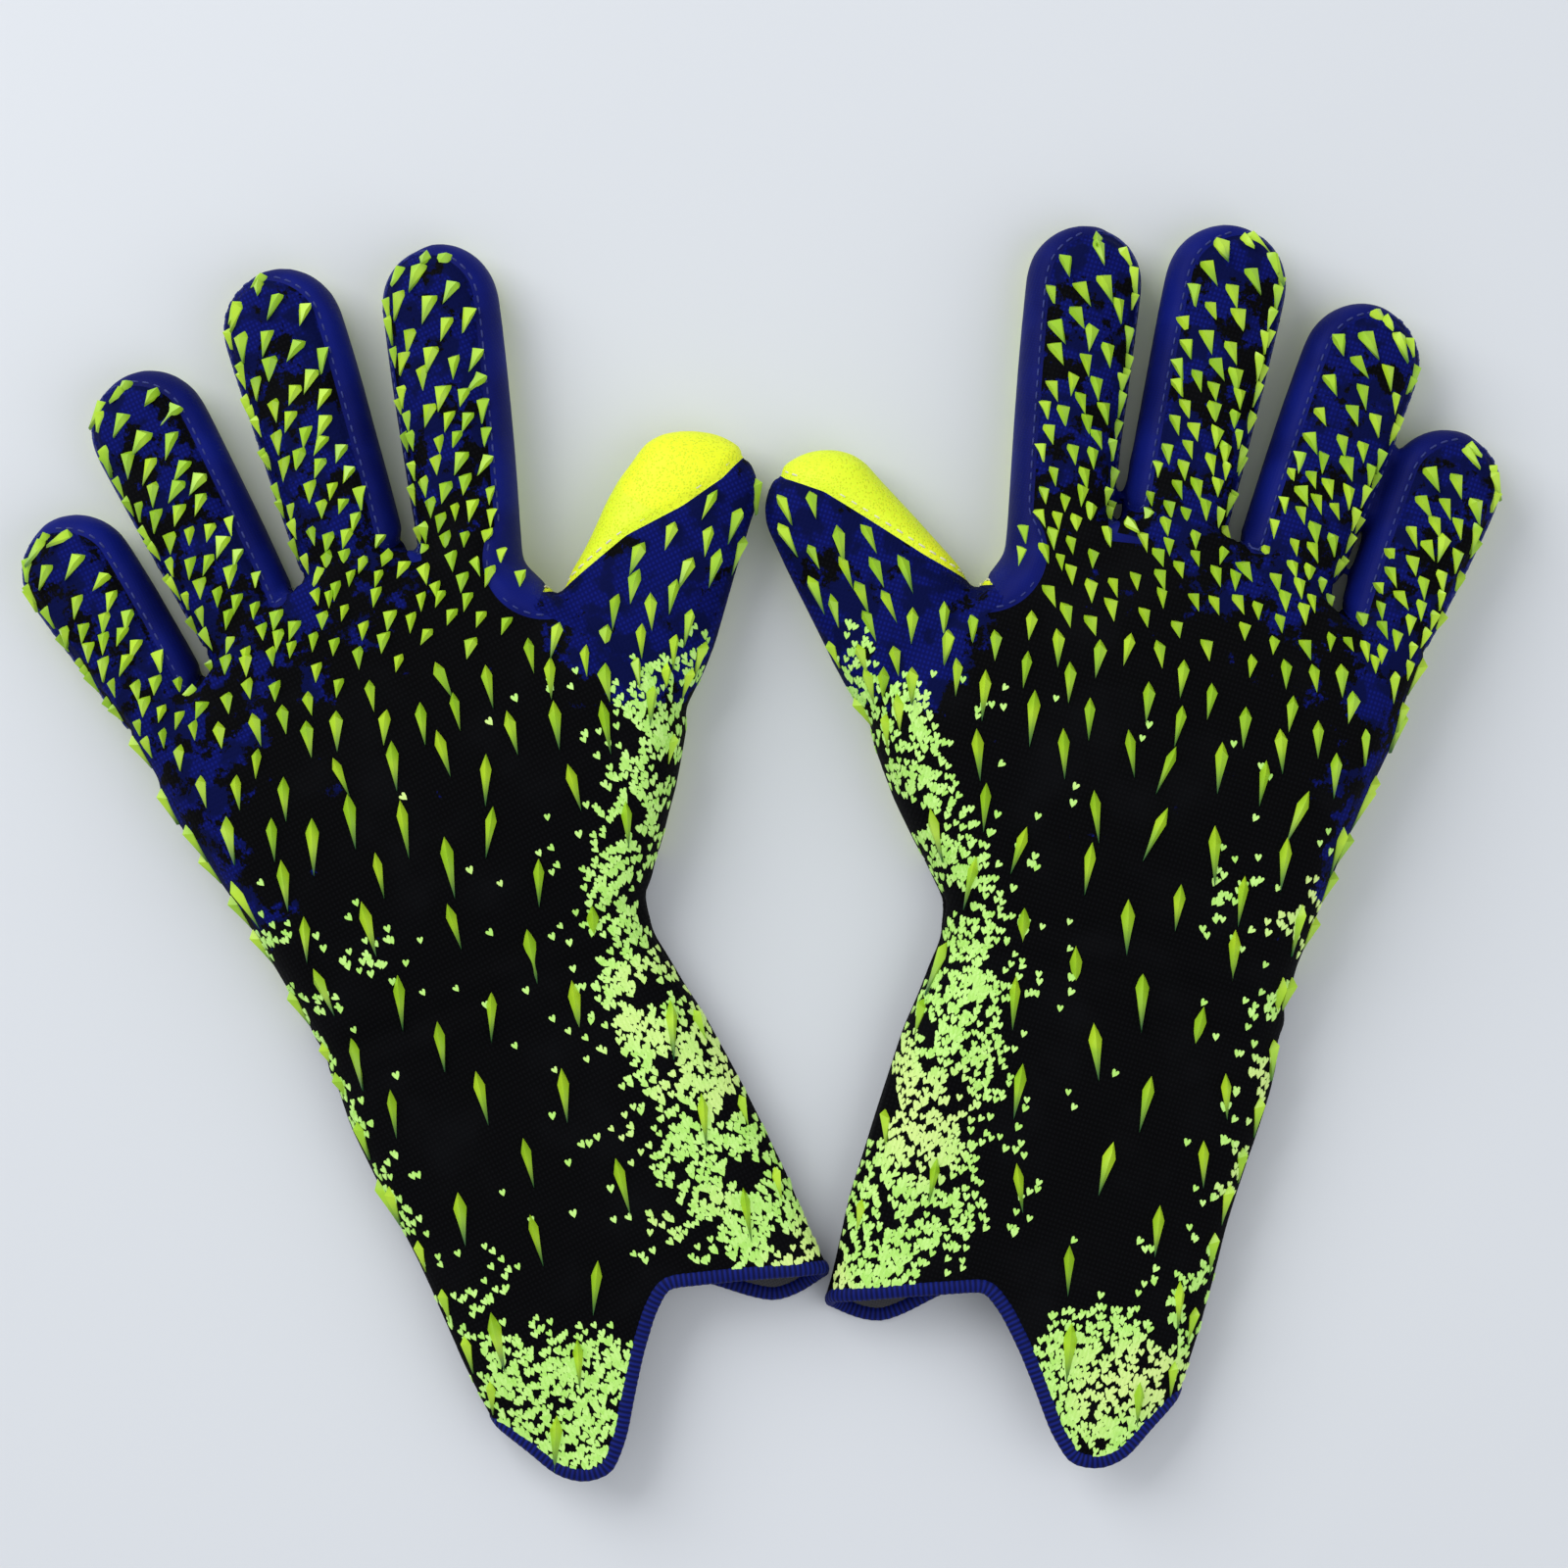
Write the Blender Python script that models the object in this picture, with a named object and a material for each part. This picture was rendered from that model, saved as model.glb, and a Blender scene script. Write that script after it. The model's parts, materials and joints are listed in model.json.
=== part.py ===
"""A pair of strapless goalkeeper gloves, laid side by side on a flat surface with the palms down.

Each glove is sewn from panels: a knitted back with moulded rubber spikes, a latex foam palm, stretch gussets
down both sides of every finger, a web gusset at the thumb, and a slip-on cuff with a bound hem.
The digits bend at the knuckle line and the cuff bends at the wrist.

Lengths are in millimetres until a mesh is made. A glove's own frame has its origin at the middle of the wrist,
on the surface below it, with +Y up the hand and +X towards the thumb. A digit's own frame has its origin on
its hinge, with +Y along the digit. The right glove is the left one with X turned round.
"""

import math

import bmesh
import bpy
import numpy as np
from mathutils import Vector

MM = 0.001

# Digits, from the knuckle line to the tip
FINGERS = ("index", "middle", "ring", "little")
DIGIT_LENGTH = {"index": 75.0, "middle": 72.0, "ring": 66.5, "little": 52.0, "thumb": 48.5}
DIGIT_WIDTH = {"index": 27.2, "middle": 28.4, "ring": 28.2, "little": 26.8, "thumb": 24.0}
THUMB_ROOT_WIDTH = 38.0
ROOT_NARROWING = 2.6  # how much narrower a finger is at its root, which leaves room to bend beside its neighbour
KNUCKLE_HEIGHT = 22.0
FINGERTIP_HEIGHT = 17.5

# Where the digits leave the hand
INDEX_ROOT = (42.5, 91.0)
KNUCKLE_STEPS = {"middle": 154.0, "ring": 185.5, "little": 197.0}  # directions from one root to the next, degrees
KNUCKLE_SPACE = 0.0  # between the full widths of neighbouring fingers
THUMB_ROOT = (70.0, 60.3)

# Hand, wrist and cuff
HAND_HEIGHT = 26.0
WRIST_HEIGHT = 19.0
HEM_HEIGHT = 15.0
WRIST_WIDTH = 84.4
WAIST_PULL = 1.0  # how far the little-finger edge draws in above the wrist
CUFF_WIDTH = 87.0
CUFF_FLARE = 18.0  # the length over which the cuff widens below the wrist
CUFF_LEAN = -1.8  # how far the hem's middle stands towards the little finger
# The cuff's two hems, as (across, down from the wrist)
BACK_HEM = ((-43.5, 91.5), (-38, 100.5), (-34.5, 107.5), (-29.5, 112), (-23.5, 112.5), (-17.5, 107),
            (-11.5, 99), (-5.5, 91.5), (1.5, 84), (7.5, 79.5), (23, 85.5), (37.5, 91.5), (43.5, 94))
PALM_HEM = ((-43.5, 91.5), (-38, 97), (-30, 97.5), (-20, 90), (-9, 81), (2, 76), (12, 80), (19.5, 87), (24, 91.5),
            (29, 95), (35, 95), (43.5, 94))
BINDING_RADIUS = 1.4
BINDING_GAP = 0.45
BINDING_END = 0.4  # how far along the rim's first leg the binding starts, so that the two bindings don't meet

# Sheet thicknesses
LATEX = 4.6  # latex foam with its backing foam and lining, one laminate
KNIT = 2.0
GUSSET = 1.5
CUFF_KNIT = 1.8
BACK_FOAM = 3.0
FOAM_GAP = 0.8
ELASTIC = 1.0
ELASTIC_WIDTH = 12.0

# Cross-sections
SEAM_HEIGHT = 8.0  # the side seams above the surface, between the back and the palm
CUFF_SEAM_HEIGHT = 7.0
EDGE_ROLL = 10.0  # how far in from an edge the back is still curving down
PALM_ROLL = 6.0
TOP_POWER = 0.72  # 1 is an ellipse, and smaller is squarer
BOTTOM_POWER = 0.42
BACK_FROM = 60.0  # where the back lies on a finger's section, from its thumb side, degrees
BACK_TO = 166.0
PALM_FROM = -164.0
PALM_TO = -14.0
WEB_TO = 62.0  # how far up over the edge between thumb and index finger the web gusset reaches
THUMB_BACK_FROM = (25.0, 100.0)  # at the thumb's root and near its tip: the palm wraps up round the thumb
TIP_TURN = 80.0  # where a digit's panels end round its tip, degrees

# Motion
FLEX = 82.0  # the panels clear a little more than the stated range
THUMB_FLEX = 50.0
EXTEND = 15.0
WRIST_BEND = 40.0
HINGE_HEIGHT = 6.0
WRIST_HINGE_HEIGHT = 9.0
CLEARANCE = 0.35
SEAM_GAP = 0.4
WEB_GAP = 0.8

# Spikes on the knitted back
SPIKE_HEIGHT = 3.6
SPIKE_LEAN = 2.2

# How each glove lies: the wrist's place, the turn of its forearm line, and each digit's direction in its own frame
LAYS = {
    "left": {"side": 1, "wrist": (-65.5, -32.4), "turn": 27.0,
             "headings": {"index": 70.0, "middle": 80.0, "ring": 90.5, "little": 96.5, "thumb": 37.0}},
    "right": {"side": -1, "wrist": (82.3, -27.0), "turn": -17.4,
              "headings": {"index": 78.5, "middle": 85.0, "ring": 93.0, "little": 95.5, "thumb": 38.0}},
}

MATERIALS = {  # colour, roughness
    "spiked_knit": ((0.012, 0.016, 0.05), 0.75),
    "cuff_knit": ((0.01, 0.012, 0.014), 0.85),
    "latex": ((0.72, 0.9, 0.02), 0.8),
    "gusset": ((0.01, 0.03, 0.36), 0.6),
    "binding": ((0.01, 0.03, 0.3), 0.7),
    "foam": ((0.08, 0.08, 0.09), 0.9),
    "elastic": ((0.03, 0.03, 0.035), 0.8),
}


def direction(degrees):
    return np.array((math.cos(math.radians(degrees)), math.sin(math.radians(degrees))))


def setback(depth, swing):
    """How far a face this far from the hinge's axis must stand back for the pieces to clear through this swing."""
    return depth * math.tan(math.radians(swing) / 2) + CLEARANCE


def clear_scene():
    for obj in list(bpy.data.objects):
        bpy.data.objects.remove(obj, do_unlink=True)


def make_materials():
    made = {}
    for name, (colour, roughness) in MATERIALS.items():
        material = bpy.data.materials.new(name)
        material.use_nodes = True
        shader = material.node_tree.nodes["Principled BSDF"]
        shader.inputs["Base Color"].default_value = (*colour, 1)
        shader.inputs["Roughness"].default_value = roughness
        shader.inputs["Metallic"].default_value = 0
        made[name] = material
    return made


def sampled(points, shares):
    """Points at these shares of a polyline's length."""
    points = np.asarray(points, float)
    along = np.concatenate(([0], np.cumsum(np.linalg.norm(np.diff(points, axis=0), axis=1))))
    places = np.asarray(shares) * along[-1]
    return np.stack([np.interp(places, along, column) for column in points.T], 1)


def drawn_in(line, share):
    """The same line with each end moved this share of the way to its neighbour."""
    line = np.array(line, float)
    first = line[0] + (line[1] - line[0]) * share
    last = line[-1] + (line[-2] - line[-1]) * share
    return np.vstack((first, line[1:-1], last))


def bezier(p0, p1, p2, p3, count):
    t = np.linspace(0, 1, count)[:, None]
    p0, p1, p2, p3 = (np.asarray(p, float) for p in (p0, p1, p2, p3))
    return (1 - t) ** 3 * p0 + 3 * t * (1 - t) ** 2 * p1 + 3 * t * t * (1 - t) * p2 + t ** 3 * p3


def coons(bottom, top, left, right):
    """A grid of points between four edges. bottom and top run left to right, and left and right run upwards."""
    u = np.linspace(0, 1, len(bottom))[None, :, None]
    v = np.linspace(0, 1, len(left))[:, None, None]
    bottom = bottom[None]
    top = top[None]
    left = left[:, None]
    right = right[:, None]
    corners = ((1 - u) * (1 - v) * bottom[:, :1] + u * (1 - v) * bottom[:, -1:]
               + (1 - u) * v * top[:, :1] + u * v * top[:, -1:])
    return (1 - v) * bottom + v * top + (1 - u) * left + u * right - corners


def nearest_edge(point, edges):
    """The distance from a point to the nearest of these polylines, and the direction from that edge to the point."""
    best = (1e9, np.zeros(2))
    for edge, inward in edges:
        for a, b in zip(edge[:-1], edge[1:]):
            run = b - a
            t = np.clip(np.dot(point - a, run) / np.dot(run, run), 0, 1)
            away = point - (a + t * run)
            distance = np.linalg.norm(away)
            if distance < best[0]:
                across = np.array((-run[1], run[0])) / np.linalg.norm(run) * inward
                best = (distance, away / distance if distance > 0.5 else across)
    return best


class Glove:
    """One glove: where its pieces meet in its own frame, and the objects that they hang from."""

    def __init__(self, name, lay, collection, materials):
        self.name = name
        self.side = lay["side"]
        self.collection = collection
        self.materials = materials
        self.heading = {digit: direction(turn) for digit, turn in lay["headings"].items()}
        self.root = self.digit_roots()
        self.frame = self.empty("glove", None, (lay["wrist"][0], lay["wrist"][1], 0), lay["turn"])
        self.hinges = {
            digit: self.empty(f"{digit}_hinge", self.frame, (self.side * root[0], root[1], HINGE_HEIGHT),
                              self.side * (lay["headings"][digit] - 90))
            for digit, root in self.root.items()
        }
        self.wrist = self.empty("wrist_hinge", self.frame, (0, 0, WRIST_HINGE_HEIGHT), 0)

    def empty(self, name, parent, place, turn):
        made = bpy.data.objects.new(f"{self.name}_{name}", None)
        made.parent = parent
        made.location = [value * MM for value in place]
        made.rotation_euler = (0, 0, math.radians(turn))
        self.collection.objects.link(made)
        return made

    def digit_roots(self):
        roots = {"index": np.array(INDEX_ROOT)}
        for before, finger in zip(FINGERS, FINGERS[1:]):
            step = (DIGIT_WIDTH[before] + DIGIT_WIDTH[finger]) / 2 + KNUCKLE_SPACE
            roots[finger] = roots[before] + step * direction(KNUCKLE_STEPS[finger])
        roots["thumb"] = np.array(THUMB_ROOT)
        return roots

    def root_line(self, digit, back):
        """The root's two corners and its middle, little-finger side first, moved back into the hand."""
        ahead = self.heading[digit]
        across = np.array((ahead[1], -ahead[0]))
        half = (THUMB_ROOT_WIDTH if digit == "thumb" else DIGIT_WIDTH[digit] - ROOT_NARROWING) / 2
        middle = self.root[digit] - back * ahead
        return [middle - half * across, middle, middle + half * across]

    def add(self, name, mesh, parent, material):
        mesh.materials.append(self.materials[material])
        mesh.shade_smooth()
        mesh.set_sharp_from_angle(angle=math.radians(40))
        made = bpy.data.objects.new(f"{self.name}_{name}", mesh)
        made.parent = parent
        self.collection.objects.link(made)
        return made

    def shell(self, name, outer, inner, parent, material, spiked=None):
        """A closed panel between two equal grids. spiked(row, column) says which outer faces carry a spike."""
        outer, inner = (np.array(grid, float) * (self.side, 1, 1) * MM for grid in (outer, inner))
        rows, columns = outer.shape[:2]
        bm = bmesh.new()
        face, back = ([[bm.verts.new(p) for p in row] for row in grid] for grid in (outer, inner))
        spikes = []
        for r in range(rows - 1):
            for c in range(columns - 1):
                made = bm.faces.new((face[r][c], face[r][c + 1], face[r + 1][c + 1], face[r + 1][c]))
                bm.faces.new((back[r][c], back[r + 1][c], back[r + 1][c + 1], back[r][c + 1]))
                if spiked and spiked(r, c):
                    spikes.append(made)
        rim = ([(0, c) for c in range(columns)] + [(r, columns - 1) for r in range(1, rows)]
               + [(rows - 1, c) for c in range(columns - 2, -1, -1)] + [(r, 0) for r in range(rows - 2, 0, -1)])
        for (r0, c0), (r1, c1) in zip(rim, rim[1:] + rim[:1]):
            bm.faces.new((face[r0][c0], back[r0][c0], back[r1][c1], face[r1][c1]))
        if bm.calc_volume(signed=True) < 0:
            bmesh.ops.reverse_faces(bm, faces=bm.faces)
        bm.normal_update()
        if spikes:
            peaks = bmesh.ops.poke(bm, faces=spikes, offset=SPIKE_HEIGHT * MM)["verts"]
            bmesh.ops.translate(bm, verts=peaks, vec=(0, SPIKE_LEAN * MM, 0))
        mesh = bpy.data.meshes.new(f"{self.name}_{name}")
        bm.to_mesh(mesh)
        bm.free()
        return self.add(name, mesh, parent, material)


def section_point(half_width, rise, drop, degrees):
    """A point across and up from the seam height, on a squared-off ellipse."""
    c, s = math.cos(math.radians(degrees)), math.sin(math.radians(degrees))
    power = TOP_POWER if s > 0 else BOTTOM_POWER
    height = rise if s > 0 else drop
    return half_width * math.copysign(abs(c) ** power, c), height * math.copysign(abs(s) ** power, s)


def digit_size(digit, share):
    """Half the digit's width and its top's height, at this share of its length."""
    full = DIGIT_WIDTH[digit]
    root = THUMB_ROOT_WIDTH if digit == "thumb" else full - ROOT_NARROWING
    settle = min(share / (0.9 if digit == "thumb" else 0.4), 1)
    width = root + (full - root) * settle
    return width / 2, KNUCKLE_HEIGHT + (FINGERTIP_HEIGHT - KNUCKLE_HEIGHT) * share


def digit_wall(digit, start, straights, rounds, turns, thickness):
    """The outer and inner grids of one panel of a digit.

    turns(share, trim) gives the panel's section angles at a share of the length, held back by trim at each seam.
    """
    length = DIGIT_LENGTH[digit]
    tip = DIGIT_WIDTH[digit] / 2
    stations = [(start + (length - tip - start) * k / straights, 0) for k in range(straights)]
    stations += [(length - tip, TIP_TURN * k / rounds) for k in range(rounds + 1)]
    grids = []
    for wall in (0, thickness):
        grid = []
        for along, bend in stations:
            shrink, reach = math.cos(math.radians(bend)), math.sin(math.radians(bend))
            half, top = digit_size(digit, along / length)
            rise, drop = top - SEAM_HEIGHT, SEAM_HEIGHT
            trim = math.degrees(SEAM_GAP / 2 / (drop * shrink))
            row = []
            for turn in turns((along + tip * reach) / length, trim):
                x, z = section_point((half - wall) * shrink, (rise - wall) * shrink, (drop - wall) * shrink, turn)
                row.append((x, along + (tip - wall) * reach, z + SEAM_HEIGHT - HINGE_HEIGHT))
            grid.append(row)
        grids.append(grid)
    return grids


def finger_panels(glove, digit):
    """The four panels of a finger: the spiked back, the latex palm, and a gusset down each side."""
    palm_start = setback(HINGE_HEIGHT, FLEX)
    back_start = setback(KNUCKLE_HEIGHT - HINGE_HEIGHT, EXTEND)
    hinge = glove.hinges[digit]
    rows = round((DIGIT_LENGTH[digit] - DIGIT_WIDTH[digit] / 2) / 7.5)

    def spread(first, last, count):
        return lambda share, trim: np.linspace(first + trim, last - trim, count + 1)

    outer, inner = digit_wall(digit, back_start, rows, 3, spread(BACK_FROM, BACK_TO, 5), KNIT)
    glove.shell(f"{digit}_back", outer, inner, hinge, "spiked_knit",
                lambda r, c: (r + c) % 2 == 0 and r <= rows and c < 4)
    outer, inner = digit_wall(digit, palm_start, 2, 4, spread(PALM_FROM, PALM_TO, 6), LATEX)
    glove.shell(f"{digit}_palm_latex", outer, inner, hinge, "latex")
    outer, inner = digit_wall(digit, palm_start, 2, 4, spread(PALM_TO, BACK_FROM, 3), GUSSET)
    glove.shell(f"{digit}_gusset_thumb_side", outer, inner, hinge, "gusset")
    outer, inner = digit_wall(digit, palm_start, 2, 4, spread(BACK_TO, 360 + PALM_FROM, 2), GUSSET)
    glove.shell(f"{digit}_gusset_little_side", outer, inner, hinge, "gusset")


def thumb_panels(glove):
    """The thumb's spiked back, and its latex palm, which wraps up round the thumb towards its tip."""
    first, last = THUMB_BACK_FROM

    def back(share, trim):
        return np.linspace(first + (last - first) * share + trim, 180 - trim, 6)

    def palm(share, trim):
        return np.linspace(-180 + trim, first + (last - first) * share - trim, 10)

    hinge = glove.hinges["thumb"]
    outer, inner = digit_wall("thumb", setback(KNUCKLE_HEIGHT - HINGE_HEIGHT, EXTEND), 5, 3, turned_out(back), KNIT)
    glove.shell("thumb_back", outer, inner, hinge, "spiked_knit",
                lambda r, c: (r + c) % 2 == 0 and r <= 5 and 0 < c < 4)
    outer, inner = digit_wall("thumb", setback(HINGE_HEIGHT, THUMB_FLEX), 3, 4, turned_out(palm), LATEX)
    glove.shell("thumb_palm_latex", outer, inner, hinge, "latex")


def turned_out(turns):
    """The same section angles seen from the other side: the thumb's outer edge is the one away from the fingers."""
    return lambda share, trim: 180 - turns(share, trim)


class Outline:
    """The plan of the hand, with its panels' setbacks at the knuckles, the thumb and the wrist."""

    COLUMNS = 12
    WAIST_ROWS, THUMB_ROWS = 3, 3
    WEB_SHARES = (0.12, 0.28, 0.4, 0.52, 0.66, 0.8)

    def __init__(self, glove):
        self.glove = glove
        little = glove.root_line("little", 0)[0]
        index = glove.root_line("index", 0)[2]
        thumb_in, _, thumb_out = glove.root_line("thumb", 0)
        half = WRIST_WIDTH / 2
        self.outer = bezier((-half, 0), (WAIST_PULL - half, little[1] * 0.38),
                            little - little[1] * 0.33 * glove.heading["little"], little, 13)
        self.waist = np.array(((half, 0), thumb_out))
        lowest = np.array((index[0] + 1.0, thumb_in[1] + 0.5))
        self.web = sampled(bezier(thumb_in, thumb_in * 0.45 + lowest * 0.55, lowest, index, 25), self.WEB_SHARES)
        self.free = ((self.outer, -1), (self.waist, 1), (self.web, 1))

    def grid(self, knuckle_back, thumb_back, wrist_back, web_inset):
        """Plan points: rows from the wrist to the knuckles, columns from the little finger's side to the thumb's."""
        glove = self.glove
        top = np.array([p for finger in reversed(FINGERS) for p in glove.root_line(finger, knuckle_back)])
        thumb = np.array(glove.root_line("thumb", thumb_back))
        half = WRIST_WIDTH / 2
        bottom = np.linspace((-half, wrist_back), (half, wrist_back), self.COLUMNS)
        side = self.waist[1] - self.waist[0]
        foot = self.waist[0] + side * (wrist_back / side[1])
        bottom[-1] = foot
        right = np.concatenate((
            sampled((foot, thumb[2]), np.linspace(0, 1, self.WAIST_ROWS + 1))[:-1],
            sampled(thumb[::-1], np.linspace(0, 1, self.THUMB_ROWS + 1)),
            self.web + web_inset * self.web_inward(),
            top[-1:],
        ))
        low = np.argmax(self.outer[:, 1] >= wrist_back)
        left_line = np.vstack(([(np.interp(wrist_back, self.outer[:, 1], self.outer[:, 0]), wrist_back)],
                               self.outer[low:-1], top[:1]))
        bottom[0] = left_line[0]
        left = sampled(left_line, np.linspace(0, 1, len(right)))
        return coons(bottom, top, left, right)

    def web_inward(self):
        run = np.gradient(self.web, axis=0)
        return np.stack((-run[:, 1], run[:, 0]), 1) / np.linalg.norm(run, axis=1)[:, None]


def hand_top(y, knuckle_y):
    """The back's height along the hand: low at the wrist, full in the middle, the fingers' own at the end."""
    return np.interp(y, (0, 0.55 * knuckle_y, knuckle_y), (WRIST_HEIGHT, HAND_HEIGHT, KNUCKLE_HEIGHT))


def rolled(grid, edges, top, roll, wall, seam, upward):
    """Outer and inner points of a panel that lies over this plan grid and rolls to the seam height at its edges."""
    outer, inner = (np.zeros((*grid.shape[:2], 3)) for _ in range(2))
    for r, row in enumerate(grid):
        for c, point in enumerate(row):
            distance, inward = nearest_edge(point, edges)
            lift = math.acos(1 - min(distance / roll, 1))
            rise = top(point) * upward
            outer[r, c] = (*point, seam + upward * rise * math.sin(lift))
            shifted = point + inward * wall * math.cos(lift)
            inner[r, c] = (*shifted, seam + upward * (rise - wall) * math.sin(lift))
    return outer, inner


def hand_panels(glove):
    """The back of the hand, its foam, the palm, and the web between thumb and index finger."""
    outline = Outline(glove)
    gap = CLEARANCE / 2
    knuckle_y = glove.root["middle"][1]
    back_seam = SEAM_HEIGHT + gap

    def rise(point):
        return hand_top(point[1], knuckle_y) - back_seam

    extend_back = setback(KNUCKLE_HEIGHT - HINGE_HEIGHT, EXTEND)
    wrist_back = setback(WRIST_HEIGHT - WRIST_HINGE_HEIGHT, WRIST_BEND)
    inset = EDGE_ROLL * (1 - math.cos(math.radians(WEB_TO))) + WEB_GAP
    plan = outline.grid(extend_back, extend_back, wrist_back, inset)
    outer, inner = rolled(plan, outline.free, rise, EDGE_ROLL, KNIT, back_seam, 1)
    glove.shell("hand_back", outer, inner, glove.frame, "spiked_knit",
                lambda r, c: (r + c) % 2 == 0 and 0 < r < len(plan) - 2)

    foam = inner[2:-3, 2:-3] - (0, 0, FOAM_GAP)
    glove.shell("backhand_foam", foam, foam - (0, 0, BACK_FOAM), glove.frame, "foam")

    palm_back = setback(HINGE_HEIGHT, FLEX)
    thumb_back = setback(HINGE_HEIGHT, THUMB_FLEX)
    plan = outline.grid(palm_back, thumb_back, setback(WRIST_HINGE_HEIGHT, WRIST_BEND), 0)
    drop = SEAM_HEIGHT - gap
    outer, inner = rolled(plan, outline.free, lambda p: -drop, PALM_ROLL, LATEX, drop, -1)
    glove.shell("palm_latex", outer, inner, glove.frame, "latex")

    web, inward = outline.web[1:], outline.web_inward()[1:]
    grids = []
    for wall in (0, GUSSET):
        grid = []
        for point, into in zip(web, inward):
            row = []
            for turn in np.radians(np.linspace(1.5, WEB_TO, 4)):
                across = EDGE_ROLL - (EDGE_ROLL - wall) * math.cos(turn)
                lift = (rise(point) - wall) * math.sin(turn)
                row.append((*(point + into * across), back_seam + lift))
            grid.append(row)
        grids.append(grid)
    glove.shell("thumb_web_gusset", *grids, glove.frame, "gusset")


def cuff_plan(hem, start):
    """Plan points of one side of the cuff: rows from the wrist to the hem, columns from the little finger's side."""
    hem = np.asarray(hem, float)
    shares = (hem[:, 0] - hem[0, 0]) / (hem[-1, 0] - hem[0, 0])
    rows = []
    for down in np.linspace(0, 1, 6):
        along = start + (hem[:, 1] - start) * down
        lean = CUFF_LEAN * along / hem[:, 1].max()
        half = (WRIST_WIDTH + (CUFF_WIDTH - WRIST_WIDTH) * np.minimum(along / CUFF_FLARE, 1)) / 2
        rows.append(np.stack((lean + half * (2 * shares - 1), -along), 1))
    return np.array(rows)


def cuff_height(along):
    return WRIST_HEIGHT + (HEM_HEIGHT - WRIST_HEIGHT) * min(along / max(d for _, d in BACK_HEM), 1)


def cuff_panels(glove):
    """The two sides of the slip-on cuff, the elastic inside its wrist, and the binding on its hem."""
    gap = CLEARANCE / 2
    lower = (0, 0, WRIST_HINGE_HEIGHT)
    for name, hem, upward, depth in (("back", BACK_HEM, 1, WRIST_HEIGHT - WRIST_HINGE_HEIGHT),
                                     ("palm", PALM_HEM, -1, WRIST_HINGE_HEIGHT)):
        plan = cuff_plan(hem, setback(depth, WRIST_BEND))
        seam = CUFF_SEAM_HEIGHT + upward * gap
        edges = ((plan[:, 0], 1), (plan[:, -1], -1))

        def rise(point):
            return cuff_height(-point[1]) - seam if upward > 0 else -seam

        outer, inner = rolled(plan, edges, rise, EDGE_ROLL, CUFF_KNIT, seam, upward)
        glove.shell(f"cuff_{name}", outer - lower, inner - lower, glove.wrist, "cuff_knit")
        middle = (outer[-2:] + inner[-2:]) / 2 - lower
        add_binding(glove, name, middle[1], middle[1] - middle[0])
        if upward > 0:
            add_elastic(glove, inner - lower)


def add_binding(glove, name, rim, away):
    """A round piping just beyond the rim of the cuff. away leads out of the cuff at each point of the rim."""
    legs = np.diff(rim, axis=0)
    legs /= np.linalg.norm(legs, axis=1)[:, None]
    before, after = np.vstack((legs[:1], legs)), np.vstack((legs, legs[-1:]))
    run = before + after
    run /= np.linalg.norm(run, axis=1)[:, None]
    mitre = 1 / (run * after).sum(1)[:, None]
    away = away - run * (away * run).sum(1)[:, None]
    away /= np.linalg.norm(away, axis=1)[:, None]
    path = rim + away * mitre * (BINDING_RADIUS + BINDING_GAP)
    path = drawn_in(path, BINDING_END)
    path[:, 2] = np.maximum(path[:, 2], BINDING_RADIUS - WRIST_HINGE_HEIGHT)
    curve = bpy.data.curves.new(f"{glove.name}_hem_binding_{name}", "CURVE")
    curve.dimensions = "3D"
    curve.bevel_depth = BINDING_RADIUS * MM
    curve.bevel_resolution = 1
    curve.use_fill_caps = True
    spline = curve.splines.new("POLY")
    spline.points.add(len(path) - 1)
    for point, place in zip(spline.points, path):
        point.co = (*(place * (glove.side, 1, 1) * MM), 1)
    curve.materials.append(glove.materials["binding"])
    made = bpy.data.objects.new(curve.name, curve)
    made.parent = glove.wrist
    glove.collection.objects.link(made)


def add_elastic(glove, inner):
    """A flat band across the inside of the cuff's back, close to the wrist."""
    first, second = inner[0, 2:-2], inner[1, 2:-2]
    run = (second - first) / np.linalg.norm(second - first, axis=1)[:, None]
    upper = np.array((first + run * CLEARANCE, first + run * (CLEARANCE + ELASTIC_WIDTH))) - (0, 0, CLEARANCE)
    glove.shell("wrist_elastic", upper, upper - (0, 0, ELASTIC), glove.wrist, "elastic")


def centre_pair(gloves, collection):
    """Moves both gloves so that the pair's box is centred on the origin."""
    bpy.context.view_layer.update()
    corners = np.array([obj.matrix_world @ Vector(corner) for obj in collection.objects if obj.type != "EMPTY"
                        for corner in obj.bound_box])
    middle = (corners.min(0) + corners.max(0)) / 2
    for glove in gloves:
        glove.frame.location.x -= middle[0]
        glove.frame.location.y -= middle[1]


def main():
    clear_scene()
    collection = bpy.data.collections.new("goalkeeper_gloves")
    bpy.context.scene.collection.children.link(collection)
    materials = make_materials()
    gloves = [Glove(name, lay, collection, materials) for name, lay in LAYS.items()]
    for glove in gloves:
        for finger in FINGERS:
            finger_panels(glove, finger)
        thumb_panels(glove)
        hand_panels(glove)
        cuff_panels(glove)
    centre_pair(gloves, collection)


main()
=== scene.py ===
"""The looks of a pair of goalkeeper gloves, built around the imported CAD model.

Lengths are in millimetres until a mesh is made. Each glove has its own frame: the origin is the middle of the
wrist, +Y runs up the hand and +X towards the thumb, so one set of shapes serves both hands. A digit's frame has
its origin on the CAD hinge, with +Y along the digit and +X towards the thumb side.
"""

import json
import math

import bmesh
import bpy
import numpy as np
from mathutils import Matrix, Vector, noise
from mathutils.bvhtree import BVHTree

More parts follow.
